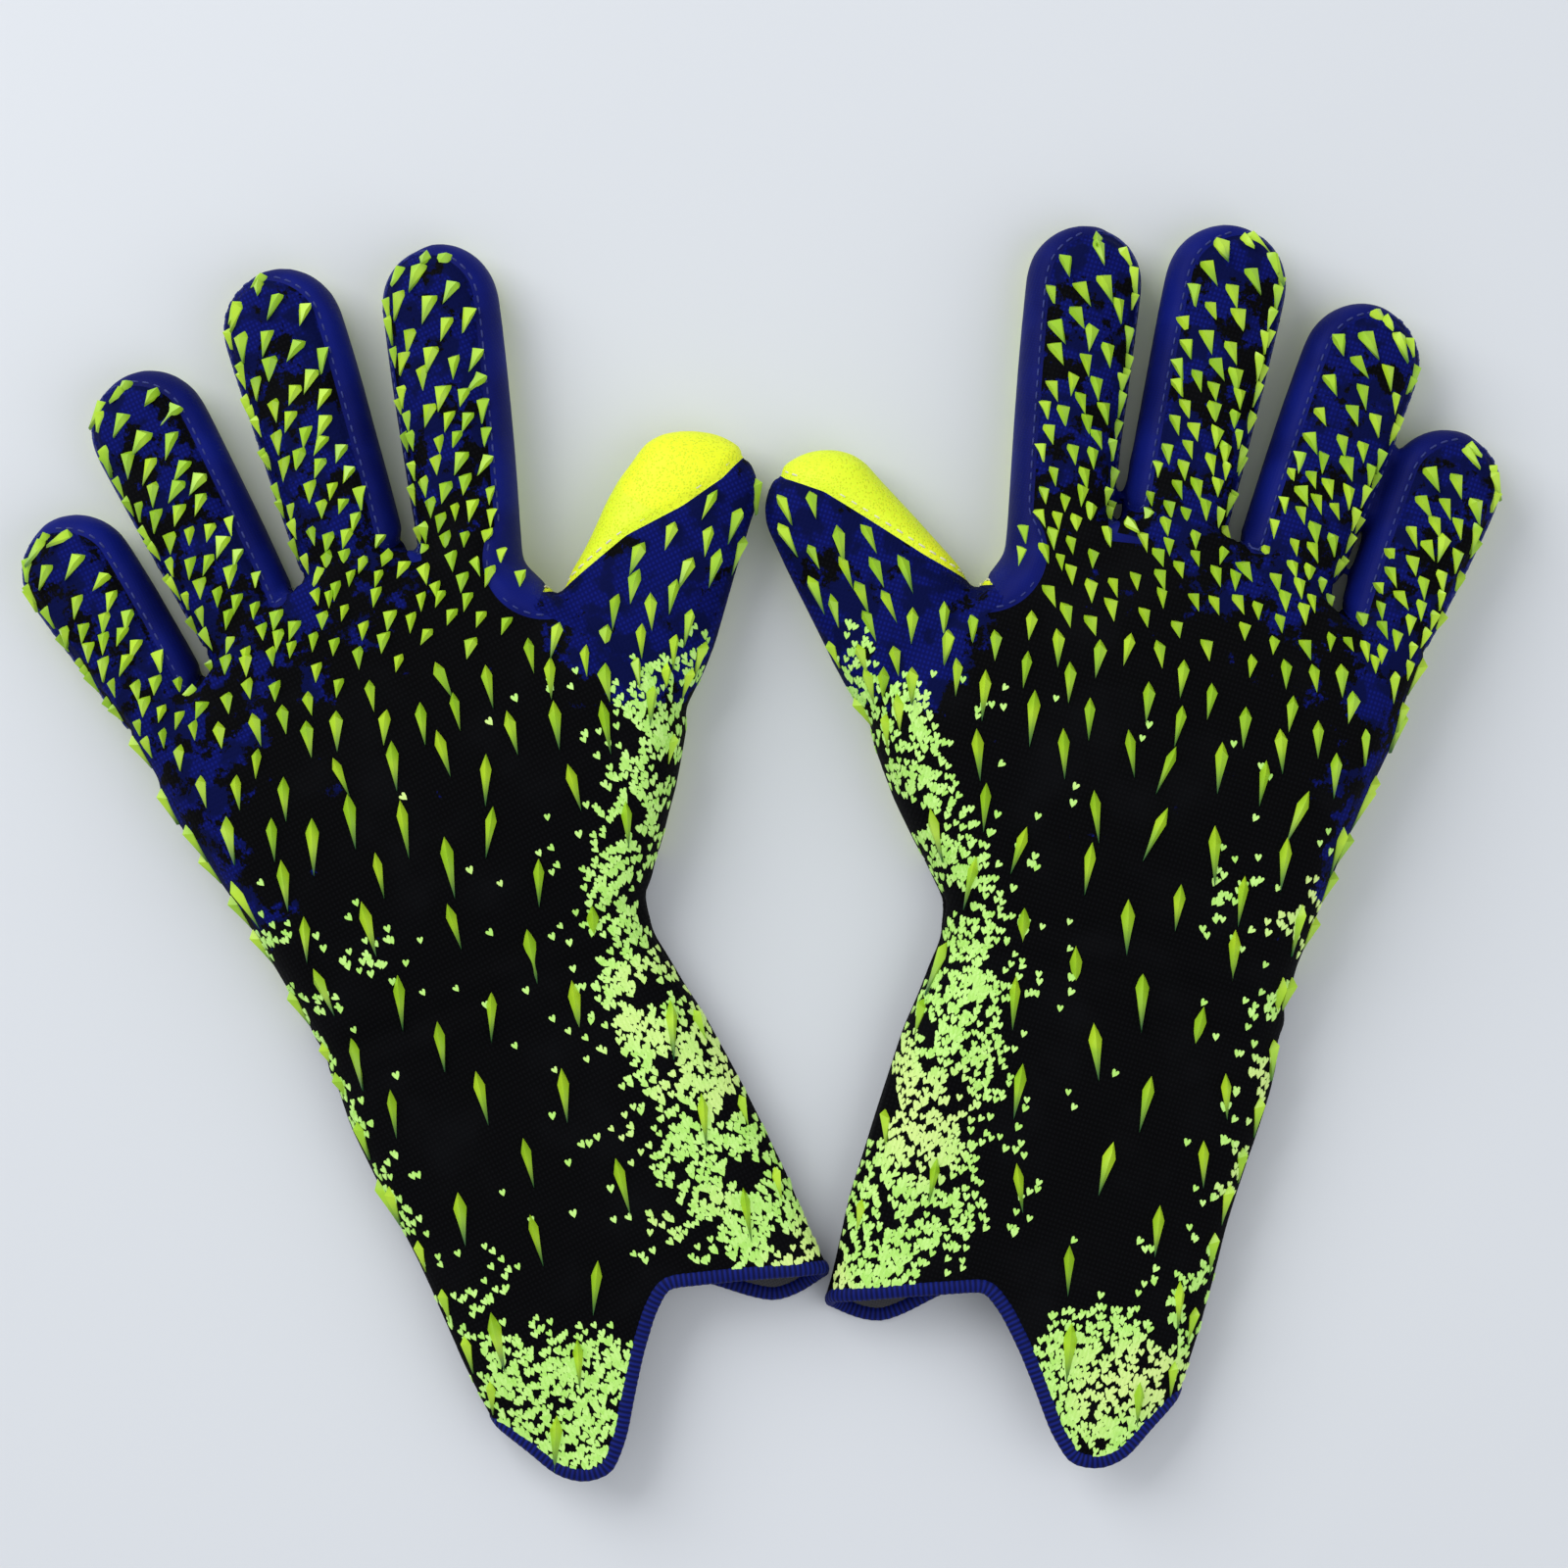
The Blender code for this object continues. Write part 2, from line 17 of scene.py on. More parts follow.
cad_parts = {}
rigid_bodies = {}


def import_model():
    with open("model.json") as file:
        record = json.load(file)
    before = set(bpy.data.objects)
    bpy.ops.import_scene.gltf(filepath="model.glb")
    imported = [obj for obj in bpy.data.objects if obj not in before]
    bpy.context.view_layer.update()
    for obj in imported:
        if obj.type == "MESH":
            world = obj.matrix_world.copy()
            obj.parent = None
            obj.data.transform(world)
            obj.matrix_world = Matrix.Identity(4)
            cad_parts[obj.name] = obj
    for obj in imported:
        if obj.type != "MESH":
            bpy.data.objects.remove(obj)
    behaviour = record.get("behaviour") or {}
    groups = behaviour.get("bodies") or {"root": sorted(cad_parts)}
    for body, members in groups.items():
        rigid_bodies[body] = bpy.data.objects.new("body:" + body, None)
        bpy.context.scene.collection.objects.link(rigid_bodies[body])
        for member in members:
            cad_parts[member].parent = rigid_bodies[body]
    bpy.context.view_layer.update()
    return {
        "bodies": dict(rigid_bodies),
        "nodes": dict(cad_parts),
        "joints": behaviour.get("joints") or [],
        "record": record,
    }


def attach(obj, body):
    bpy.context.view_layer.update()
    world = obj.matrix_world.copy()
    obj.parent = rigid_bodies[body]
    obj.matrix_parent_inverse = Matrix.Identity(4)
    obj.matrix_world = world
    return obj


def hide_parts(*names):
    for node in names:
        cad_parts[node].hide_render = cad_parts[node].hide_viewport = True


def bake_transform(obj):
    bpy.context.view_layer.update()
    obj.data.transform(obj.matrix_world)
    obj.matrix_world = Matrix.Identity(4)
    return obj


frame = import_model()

MM = 0.001
JOINTS = {joint["name"]: joint for joint in frame["joints"]}
FINGERS = ("index", "middle", "ring", "little")
DIGITS = (*FINGERS, "thumb")

# Body of the glove
VOXEL = 1.15
KNUCKLE_HEIGHT, FINGERTIP_HEIGHT = 22.0, 17.5
SEAM_HEIGHT = 8.0
ROOT_NARROWING = {"index": 3.6, "middle": 3.4, "ring": 3.8, "little": 5.0}
THUMB_ROOT_WIDTH, THUMB_WIDTH = 39.0, 26.5
LATEX_EDGE = 5.0  # the latex reaches this high up the sides
# The hand and cuff: along, little-finger edge, thumb edge, top height, seam height, how far the row arches forward
HAND_ROWS = (
    (-126, -45.4, 41.4, 13.5, 7, 0), (-108, -45.4, 41.6, 14.2, 7, 0), (-90, -45.6, 41.6, 15, 7, 0),
    (-70, -44.8, 43.2, 16, 7, 0), (-50, -44.3, 43.4, 17, 7, 0), (-30, -44.6, 43.0, 18, 7, 0),
    (-16, -44.4, 41.8, 18.6, 7.2, 0), (-5, -42.8, 41.2, 19.2, 7.5, 0), (3, -41.8, 43.6, 20, 7.8, 0),
    (12, -41.4, 52.2, 21.5, 8, 0), (22, -42.0, 61.2, 23, 8, 0), (33, -42.6, 70.0, 24.5, 8, 1),
    (44, -43.4, 74.5, 25.5, 8, 3), (54, -44.6, 70.0, 26, 8, 7), (64, -46.0, 62.5, 25.6, 8, 12),
    (73, -47.2, 56.0, 24.6, 8, 18), (80, -47.6, 53.0, 23.4, 8, 23.5),
)
BACK_HEM = ((-46, 90), (-43.5, 91.5), (-38, 101), (-34.5, 108.5), (-29.5, 113), (-23.5, 113.5), (-17.5, 108),
            (-11.5, 100), (-5.5, 92.5), (1.5, 85), (7.5, 80.5), (23, 86.5), (37.5, 92.5), (45, 95.5))
PALM_HEM = ((-46, 90), (-43.5, 91.5), (-38, 98), (-30, 98.5), (-20, 91), (-9, 82), (2, 77), (12, 81),
            (19.5, 88), (24, 92.5), (29, 96.5), (35, 97), (45, 95.5))
HEM_LEAN = -1.8

# Panels
THUMB_SEAM = {  # along, across: the latex rolls further over the left thumb, as the two gloves lie
    "left": ((-9, -36), (-5, -25), (0, -18.6), (17.5, -10.5), (29.3, -1.8), (39.5, 3.8), (47, 6.0), (60, 8)),
    "right": ((-9, -36), (-5, -25), (0, -19.2), (12, -13.2), (27.5, -6.6), (37.5, -2.2), (45.5, 3.4), (60, 8)),
}
THUMB_BULGE = {"left": 3.6, "right": 0.6}
WEB_CENTRE, WEB_REACH = (58.5, 83.0), 14.5
STRIP_THUMB_SIDE, STRIP_OTHER_SIDE = 5.3, 1.2
STRIP_FOOT = 3.0

# Where a joint's bend would start and stop (worked out in hang, but nothing bends), and where the skin is parted into
# bodies: along a digit from its hinge, or up the hand from the wrist
BEND = {"finger": (-5.0, 13.0), "thumb": (-6.0, 15.0), "cuff": (9.0, -9.0)}
SPLIT = {"finger": -6.0, "thumb": -7.5, "cuff": 10.5}
FINGER_REACH, THUMB_REACH = 19, 22  # how far a digit's body can reach to the side of its middle line

WALL = {"knit": 1.6, "gusset": 1.2, "latex": 4.0}


def smoothstep(low, high, value):
    t = np.clip((value - low) / (high - low), 0, 1)
    return t * t * (3 - 2 * t)


def polyline(points, value):
    """The second value of these points, interpolated at a first value."""
    points = np.asarray(points, float)
    return np.interp(value, points[:, 0], points[:, 1])


def deselect_all():
    for obj in bpy.context.view_layer.objects:
        obj.select_set(False)


def activate(obj):
    deselect_all()
    obj.select_set(True)
    bpy.context.view_layer.objects.active = obj


def apply_modifier(obj, kind, **settings):
    modifier = obj.modifiers.new(kind.lower(), kind)
    for name, value in settings.items():
        setattr(modifier, name, value)
    activate(obj)
    bpy.ops.object.modifier_apply(modifier=modifier.name)


def new_object(name, mesh):
    obj = bpy.data.objects.new(name, mesh)
    bpy.context.scene.collection.objects.link(obj)
    return obj


def mesh_of(bm, name):
    mesh = bpy.data.meshes.new(name)
    bm.to_mesh(mesh)
    bm.free()
    return mesh


def coordinates(mesh):
    flat = np.empty(len(mesh.vertices) * 3, np.float32)
    mesh.vertices.foreach_get("co", flat)
    return flat.reshape(-1, 3).astype(float)


def set_coordinates(mesh, points):
    mesh.vertices.foreach_set("co", np.asarray(points, np.float32).ravel())
    mesh.update()


# ----------------------------------------------
# Frames


class Glove:
    """One glove's frame and digits, read from the CAD joints and nodes."""

    def __init__(self, name, side):
        self.name = name
        self.side = side
        wrist = JOINTS[f"{name}_wrist_bend"]
        across = np.array(wrist["axis"][:2])
        self.origin = np.array(wrist["pos_m"][:2]) / MM
        self.thumbward = side * across
        self.upward = np.array((-across[1], across[0]))
        self.digits = {digit: Digit(self, digit) for digit in DIGITS}
        self.seam = THUMB_SEAM[name]
        self.bulge = THUMB_BULGE[name]
        self.down = np.array((0.0, -1.0)) @ np.stack((self.thumbward, self.upward), 1)

    def to_own(self, points):
        """Points in the world, in metres, as points in the glove's frame, in millimetres."""
        points = np.asarray(points, float) / MM
        flat = points[:, :2] - self.origin
        return np.stack((flat @ self.thumbward, flat @ self.upward, points[:, 2]), 1)

    def to_world(self, points):
        points = np.asarray(points, float)
        flat = self.origin + points[:, :1] * self.thumbward + points[:, 1:2] * self.upward
        return np.hstack((flat, points[:, 2:3])) * MM

    def place(self, mesh):
        """Moves a mesh from the glove's frame to the world. The right glove's frame is a mirrored one."""
        set_coordinates(mesh, self.to_world(coordinates(mesh)))
        if self.side < 0:
            mesh.flip_normals()


class Digit:
    """A digit's hinge, direction, length and width."""

    def __init__(self, glove, name):
        joint = JOINTS[f"{glove.name}_{name}_knuckle"]
        self.name = name
        hinge = glove.to_own([joint["pos_m"]])[0]
        ahead = np.array((joint["axis"][1], -joint["axis"][0]))
        self.root = hinge[:2]
        self.ahead = np.array((ahead @ glove.thumbward, ahead @ glove.upward))
        self.across = np.array((self.ahead[1], -self.ahead[0]))
        skin = [node for node in frame["nodes"] if node.startswith(f"{glove.name}_{name}_palm")
                or node.startswith(f"{glove.name}_{name}_gusset")]
        own = np.vstack([self.to_own(glove.to_own(coordinates(frame["nodes"][node].data))) for node in skin])
        self.length = own[:, 1].max()
        self.width = THUMB_WIDTH if name == "thumb" else 2 * np.abs(own[:, 0]).max()
        self.root_width = THUMB_ROOT_WIDTH if name == "thumb" else self.width - ROOT_NARROWING[name]

    def to_own(self, points):
        flat = points[:, :2] - self.root
        return np.stack((flat @ self.across, flat @ self.ahead, points[:, 2]), 1)

    def from_own(self, points):
        points = np.asarray(points, float)
        flat = self.root + points[:, :1] * self.across + points[:, 1:2] * self.ahead
        return np.hstack((flat, points[:, 2:3]))

    def half_width(self, along):
        settle = np.clip(along / self.length / 0.8, 0, 1)
        settle = settle if self.name == "thumb" else 1 - (1 - settle) ** 1.6
        return (self.root_width + (self.width - self.root_width) * settle) / 2

    def inside_edge(self, own):
        """How far points are inside the digit's outline, seen from above."""
        tip = self.width / 2
        centre = self.length - tip
        sides = self.half_width(own[:, 1]) - np.abs(own[:, 0])
        rounded = tip - np.hypot(own[:, 0], own[:, 1] - centre)
        return np.where(own[:, 1] > centre, rounded, sides)


# ----------------------------------------------
# The body of a glove: closed solids joined and smoothed into one skin


def ring_section(half, rise, drop, seam, count=28):
    turns = np.linspace(0, 2 * math.pi, count, endpoint=False)
    c, s = np.cos(turns), np.sin(turns)
    power = np.where(s > 0, 0.8, 0.55)
    height = np.where(s > 0, rise, drop)
    return half * np.sign(c) * np.abs(c) ** power, seam + height * np.sign(s) * np.abs(s) ** power


def loft(bm, rings):
    loops = [[bm.verts.new(point) for point in ring] for ring in rings]
    for a, b in zip(loops, loops[1:]):
        for i in range(len(a)):
            j = (i + 1) % len(a)
            bm.faces.new((a[i], a[j], b[j], b[i]))
    bm.faces.new(loops[0][::-1])
    bm.faces.new(loops[-1])


def add_digit_solid(bm, digit, bulge=0.0):
    inside = -46 if digit.name == "thumb" else -24
    tip = digit.width / 2
    stations = [(along, 0) for along in np.linspace(inside, digit.length - tip, 14)]
    stations += [(digit.length - tip, turn) for turn in (12, 24, 36, 48, 59, 69, 77, 83, 87)]
    rings = []
    for along, turn in stations:
        shrink, reach = math.cos(math.radians(turn)), math.sin(math.radians(turn))
        share = np.clip(along / digit.length, 0, 1)
        top = KNUCKLE_HEIGHT + (FINGERTIP_HEIGHT - KNUCKLE_HEIGHT) * share - 0.08 * max(-along, 0)
        half = digit.half_width(along)
        x, z = ring_section(half * shrink, (top - SEAM_HEIGHT) * shrink, SEAM_HEIGHT * shrink, SEAM_HEIGHT)
        swell = bulge * math.exp(-(((along - 30) / 15) ** 2)) * shrink
        x = x - swell * smoothstep(0, -half, x)
        rings.append(digit.from_own(np.stack((x, np.full_like(x, along + tip * reach), z), 1)))
    loft(bm, rings)


def add_hand_solid(bm):
    rings = []
    for along, left, right, top, seam, arch in HAND_ROWS:
        roll = np.radians(np.linspace(0, 90, 8))
        half, middle = (right - left) / 2, (right + left) / 2
        above = 11 * (1 - np.cos(roll))
        below = 7 * (1 - np.cos(roll))
        flat = np.linspace(-1, 1, 9)[1:-1] * (half - 11)
        x_top = np.concatenate((half - above, flat[::-1], above[::-1] - half))
        z_top = np.concatenate((np.sin(roll), np.ones(len(flat)), np.sin(roll[::-1])))
        dome = 1 - 0.1 * (x_top / half) ** 2
        z_top = seam + (top - seam) * z_top * dome
        x_low = np.concatenate((below - half, half - below[::-1]))[1:-1]
        z_low = seam * (1 - np.concatenate((np.sin(roll), np.sin(roll[::-1]))))[1:-1]
        x, z = np.concatenate((x_top, x_low)), np.concatenate((z_top, z_low))
        y = along + arch * (1 - ((x - 5.5) / (half + 1)) ** 2)
        rings.append(np.stack((x + middle, y, z), 1))
    front = rings[-1].copy()
    front[:, 2] = seam
    loft(bm, [*rings, front])


def hem_field(points):
    """Positive on the cuff's side of its hem, and negative past it."""
    lean = HEM_LEAN * np.clip(-points[:, 1] / 110, 0, 1)
    across = points[:, 0] - lean
    share = smoothstep(4.5, 9.5, points[:, 2])
    hem = polyline(BACK_HEM, across) * share + polyline(PALM_HEM, across) * (1 - share)
    return points[:, 1] + hem


def body_mesh(glove):
    bm = bmesh.new()
    add_hand_solid(bm)
    for digit in glove.digits.values():
        add_digit_solid(bm, digit, glove.bulge if digit.name == "thumb" else 0.0)
    bmesh.ops.recalc_face_normals(bm, faces=bm.faces)
    obj = new_object("skin", mesh_of(bm, "skin"))
    apply_modifier(obj, "REMESH", mode="VOXEL", voxel_size=VOXEL, adaptivity=0)
    apply_modifier(obj, "SMOOTH", factor=0.5, iterations=14)
    return obj


# ----------------------------------------------
# Panels


def panel_fields(glove, points, body):
    """How far points of one body are inside its latex and its gusset, in millimetres; negative is outside."""
    z = points[:, 2]
    nowhere = np.full(len(points), -20.0)
    if body == "cuff":
        return 7 - z, nowhere
    thumb = glove.digits["thumb"].to_own(points)
    wrap = (polyline(glove.seam, thumb[:, 1]) - thumb[:, 0]) * 0.85
    if body != "thumb":
        wrap = np.minimum(wrap, np.minimum(thumb[:, 0] + THUMB_REACH, thumb[:, 1] + 14))
    latex = np.maximum(LATEX_EDGE - z, wrap)
    if body == "thumb":
        return latex, nowhere
    web = WEB_REACH - np.hypot(points[:, 0] - WEB_CENTRE[0], points[:, 1] - WEB_CENTRE[1])
    if body == "hand":
        return latex, web
    latex = LATEX_EDGE - z
    digit = glove.digits[body]
    own = digit.to_own(points)
    half = digit.half_width(own[:, 1])
    strip = STRIP_OTHER_SIDE + (STRIP_THUMB_SIDE - STRIP_OTHER_SIDE) * smoothstep(-0.5, 0.7, own[:, 0] / half)
    end = STRIP_THUMB_SIDE * 0.55
    foot = STRIP_FOOT - np.sqrt(np.maximum(end**2 - (own[:, 0] - half + end) ** 2, 0))
    gusset = np.maximum(strip - digit.inside_edge(own), (8.6 - z) * 1.5)
    gusset = np.minimum(gusset, own[:, 1] - np.where(own[:, 0] > 0, foot, 0.5))
    if body == "index":
        gusset = np.maximum(gusset, np.where(own[:, 1] < 6, web, -20))
    return latex, gusset


def find_body(glove, points):
    """The name of the body that each point is on."""
    body = np.full(len(points), "hand", dtype="U8")
    nearest = np.full(len(points), 1e9)
    for name in FINGERS:
        own = glove.digits[name].to_own(points)
        aside = np.abs(own[:, 0])
        mine = (own[:, 1] > SPLIT["finger"]) & (aside < nearest) & (aside < FINGER_REACH)
        body[mine] = name
        nearest[mine] = aside[mine]
    own = glove.digits["thumb"].to_own(points)
    body[(own[:, 1] > SPLIT["thumb"]) & (own[:, 0] > -THUMB_REACH) & (points[:, 1] > 22) & (own[:, 0] < 26)] = "thumb"
    body[points[:, 1] < SPLIT["cuff"]] = "cuff"
    return body


def shape_skin(glove, mesh):
    """Seams, creases and folds, as small moves of the skin along its normals."""
    points = coordinates(mesh)
    normals = np.array([vertex.normal for vertex in mesh.vertices])
    bodies = find_body(glove, points)
    move = np.zeros(len(points))
    for body in ("hand", "cuff", *DIGITS):
        here = bodies == body
        at = points[here]
        latex, gusset = panel_fields(glove, at, body)
        seam = np.minimum(np.abs(latex), np.where(latex < 0.5, np.abs(gusset), 20))
        part = -0.75 * np.exp(-((seam / 1.15) ** 2))
        part += 0.3 * smoothstep(0.5, 3.0, gusset) * (latex < 0) + 0.35 * smoothstep(0.5, 2.5, latex)
        if body in FINGERS:
            digit = glove.digits[body]
            along = digit.to_own(at)[:, 1]
            for share in (0.37, 0.69):
                line = along - share * digit.length
                part -= 0.4 * smoothstep(9, 15, at[:, 2]) * np.exp(-((line / 3.2) ** 2))
                part -= 0.9 * smoothstep(6, 2, at[:, 2]) * np.exp(-((line / 1.5) ** 2))
        move[here] = part
    folds = np.empty(len(points))
    shift = 11 * glove.side
    for i, p in enumerate(points):
        wide = noise.noise(Vector((p[0] * 0.03, p[1] * 0.022, p[2] * 0.03 + shift)))
        long = noise.noise(Vector((p[0] * 0.08 + shift, p[1] * 0.032, p[2] * 0.05)))
        folds[i] = 1.7 * wide + 0.75 * long
    y = points[:, 1]
    top = smoothstep(3, 9, points[:, 2])
    loose = 0.35 + 0.65 * smoothstep(30, -20, y)
    wrist = np.exp(-(((y + 1) / 9) ** 2)) * np.sin((y + 0.15 * points[:, 0]) * 0.62) * 0.4
    move += top * (folds * loose + wrist)
    points += normals * move[:, None]
    points[:, 2] = np.maximum(points[:, 2], 0.15)
    set_coordinates(mesh, points)


def cut_along(bm, field_of, keep_of=None):
    """Adds edges along a field's zero line, so that the faces can be parted there."""
    bm.verts.index_update()
    points = np.array([vertex.co for vertex in bm.verts])
    values = field_of(points)
    values = np.where(np.abs(values) < 1e-3, 1e-3, values)
    keep = np.ones(len(points), bool) if keep_of is None else keep_of(points)
    crossing = []
    for edge in bm.edges:
        first, second = (vertex.index for vertex in edge.verts)
        if values[first] * values[second] < 0 and keep[first] and keep[second]:
            crossing.append((edge, edge.verts[0], values[first] / (values[first] - values[second])))
    made = [bmesh.utils.edge_split(edge, vertex, share)[1] for edge, vertex, share in crossing]
    if made:
        bmesh.ops.connect_verts(bm, verts=made)


def middles(bm):
    return np.array([face.calc_center_median() for face in bm.faces])


def parted(bm, labels):
    """A new bmesh for each label of the faces."""
    made = {}
    for label in sorted(set(labels)):
        part = bm.copy()
        part.faces.ensure_lookup_table()
        bmesh.ops.delete(part, geom=[f for f in part.faces if labels[f.index] != label], context="FACES")
        made[str(label)] = part
    return made


def cut_bodies(glove, mesh):
    """The skin as one bmesh for each body, open at the cuff's hem."""
    bm = bmesh.new()
    bm.from_mesh(mesh)
    cut_along(bm, hem_field, lambda p: p[:, 1] < -50)
    bm.faces.index_update()
    gone = middles(bm)
    gone = (hem_field(gone) < 0) & (gone[:, 1] < -50)
    bmesh.ops.delete(bm, geom=[face for face in bm.faces if gone[face.index]], context="FACES")
    cut_along(bm, lambda p: p[:, 1] - SPLIT["cuff"])
    for name in DIGITS:
        digit = glove.digits[name]
        level = SPLIT["thumb" if name == "thumb" else "finger"]
        reach = 27 if name == "thumb" else FINGER_REACH
        cut_along(
            bm,
            lambda p: digit.to_own(p)[:, 1] - level,
            lambda p: (np.abs(digit.to_own(p)[:, 0]) < reach) & (p[:, 1] > 20),
        )
    bm.faces.index_update()
    bm.normal_update()
    bodies = parted(bm, find_body(glove, middles(bm)))
    bm.free()
    return bodies


def cut_panels(glove, body, bm):
    """One body's skin as a bmesh for each of its panels."""
    cut_along(bm, lambda p: panel_fields(glove, p, body)[0])
    if body not in ("cuff", "thumb"):
        cut_along(bm, lambda p: panel_fields(glove, p, body)[1])
    if body in FINGERS:
        digit = glove.digits[body]
        cut_along(bm, lambda p: digit.to_own(p)[:, 0], lambda p: digit.to_own(p)[:, 1] > digit.length - 12)
    bm.faces.index_update()
    centres = middles(bm)
    latex, gusset = panel_fields(glove, centres, body)
    if body == "cuff":
        names = np.where(latex > 0, "cuff_palm", "cuff_back")
    elif body == "thumb":
        names = np.where(latex > 0, "thumb_palm_latex", "thumb_back")
    elif body == "hand":
        names = np.where(latex > 0, "palm_latex", np.where(gusset > 0, "thumb_web_gusset", "hand_back"))
    else:
        side = np.where(glove.digits[body].to_own(centres)[:, 0] > 0, "_gusset_thumb_side", "_gusset_little_side")
        strip = np.char.add(body, side)
        names = np.where(latex > 0, f"{body}_palm_latex", np.where(gusset > 0, strip, f"{body}_back"))
    panels = parted(bm, names)
    bm.free()
    return panels


# ----------------------------------------------
# Patterns that follow the surface


def blue_share(glove, points, body):
    """How blue the marbled knit is: most on the digits and the outer edge, none in the middle of the hand."""
    x, y = points[:, 0], points[:, 1]
    if body == "thumb":
        return np.full(len(points), 0.72)
    knuckles = 0.5 * smoothstep(52, 104, y - 0.5 * x)
    outer = 0.55 * smoothstep(-20, -46, x) * smoothstep(8, 48, y)
    thumb_root = 0.72 * smoothstep(42, 66, x) * smoothstep(30, 52, y)
    share = np.maximum(np.maximum(knuckles, outer), thumb_root)
    if body in FINGERS:
        digit = glove.digits[body]
        along = digit.to_own(points)[:, 1] / digit.length
        paler = 0.16 * smoothstep(0.1, 0.5, along) * smoothstep(0.9, 0.6, along)
        share = np.maximum(share, 0.66 * smoothstep(-0.1, 0.35, along) - paler)
    return share


def store(mesh, name, values):
    values = np.asarray(values, np.float32)
    kind = "FLOAT_VECTOR" if values.ndim == 2 else "FLOAT"
    attribute = mesh.attributes.get(name) or mesh.attributes.new(name, kind, "POINT")
    attribute.data.foreach_set("vector" if values.ndim == 2 else "value", values.ravel())


def store_patterns(glove, mesh, body):
    """Each point's place in the glove's frame at rest, in metres, and how blue it is."""
    points = coordinates(mesh)
    rest = points * MM
    rest[:, 2] += 0.4 * (glove.side < 0)
    store(mesh, "rest", rest)
    store(mesh, "blue", blue_share(glove, points, body))


def hang(glove, piece, body):
    """Puts a piece of the hand on the hand's CAD body. Any other piece is baked where it lies and hangs on no body;
    the ends of its joint's bend are worked out but not used.
    """
    if body == "hand":
        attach(piece, f"{glove.name}_hand")
        return
    if body == "cuff":
        start, end = ([[0, along, 9]] for along in BEND["cuff"])
    else:
        digit = glove.digits[body]
        bend = BEND["thumb" if body == "thumb" else "finger"]
        start, end = (digit.from_own([[0, along, 6]]) for along in bend)
    glove.to_world(start)[0]
    glove.to_world(end)[0]
    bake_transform(piece)


def finish_piece(glove, piece, body, nodes=(), smooth=38):
    """Moves a piece from the glove's frame to its place, and hangs a piece of the hand on the hand's body."""
    store_patterns(glove, piece.data, body)
    glove.place(piece.data)
    activate(piece)
    bpy.ops.object.shade_smooth_by_angle(angle=math.radians(smooth))
    piece.select_set(False)
    if nodes:
        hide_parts(*nodes)
    hang(glove, piece, body)


# ----------------------------------------------
# Panels, stitches, hems


def give_wall(piece, thickness, materials):
    for material in materials:
        piece.data.materials.append(material)
    apply_modifier(piece, "SOLIDIFY", thickness=thickness, offset=-1, use_quality_normals=True,
                   material_offset=len(materials) - 1, material_offset_rim=0)


def edge_chains(mesh, wanted):
    """The open edges of a mesh as chains of points, each with the direction into the mesh."""
    bm = bmesh.new()
    bm.from_mesh(mesh)
    bm.normal_update()
    edges = [edge for edge in bm.edges if edge.is_boundary]
    spots = np.array([(edge.verts[0].co + edge.verts[1].co) / 2 for edge in edges]).reshape(-1, 3)
    allowed = wanted(spots) if len(spots) else []
    chosen = {edge for edge, fine in zip(edges, allowed) if fine}
    chains = []
    while chosen:
        edge = chosen.pop()
        run = [edge.verts[0], edge.verts[1]]
        for _ in range(2):
            while True:
                following = [e for e in run[-1].link_edges if e in chosen]
                if not following:
                    break
                chosen.discard(following[0])
                run.append(following[0].other_vert(run[-1]))
            run.reverse()
        if len(run) > 4:
            spots = np.array([vertex.co for vertex in run])
            normal = np.array([vertex.normal for vertex in run])
            inside = np.array([np.mean([f.calc_center_median() for f in v.link_faces], axis=0) for v in run]) - spots
            chains.append((spots, normal, inside))
    bm.free()
    return chains


def eased(values, times=6):
    """A chain of points or directions with its jaggedness smoothed away, and its ends kept."""
    values = values.copy()
    for _ in range(times):
        values[1:-1] = (values[:-2] + 2 * values[1:-1] + values[2:]) / 4
    return values


def resampled(spots, others, step):
    """Evenly spaced points along a chain, with its other values at those places."""
    lengths = np.concatenate(([0], np.cumsum(np.linalg.norm(np.diff(spots, axis=0), axis=1))))
    count = max(int(lengths[-1] / step), 2)
    places = np.linspace(0, lengths[-1], count)
    pick = lambda rows: np.stack([np.interp(places, lengths, column) for column in rows.T], 1)
    return pick(spots), [pick(rows) for rows in others]


def unit(rows):
    return rows / np.maximum(np.linalg.norm(rows, axis=-1, keepdims=True), 1e-9)


STITCH_RING = [(math.cos(t), math.sin(t)) for t in np.linspace(0, 2 * math.pi, 6, endpoint=False)]


def joined_copies(name, shape, faces, frames, material):
    """One mesh of many copies of a shape, which is shared or has its own points for each copy.

    A frame is a copy's place and its three directions."""
    shape = np.asarray(shape, float)
    each = shape.shape[-2]
    frames = np.asarray(frames, float)
    if shape.ndim == 2:
        shape = np.broadcast_to(shape, (len(frames), each, 3))
    points = frames[:, None, 0] + np.einsum("nki,nij->nkj", shape, frames[:, 1:])
    all_faces = [tuple(index + each * copy for index in face) for copy in range(len(frames)) for face in faces]
    mesh = bpy.data.meshes.new(name)
    mesh.from_pydata(points.reshape(-1, 3).tolist(), [], all_faces)
    mesh.update()
    mesh.materials.append(material)
    return new_object(name, mesh)


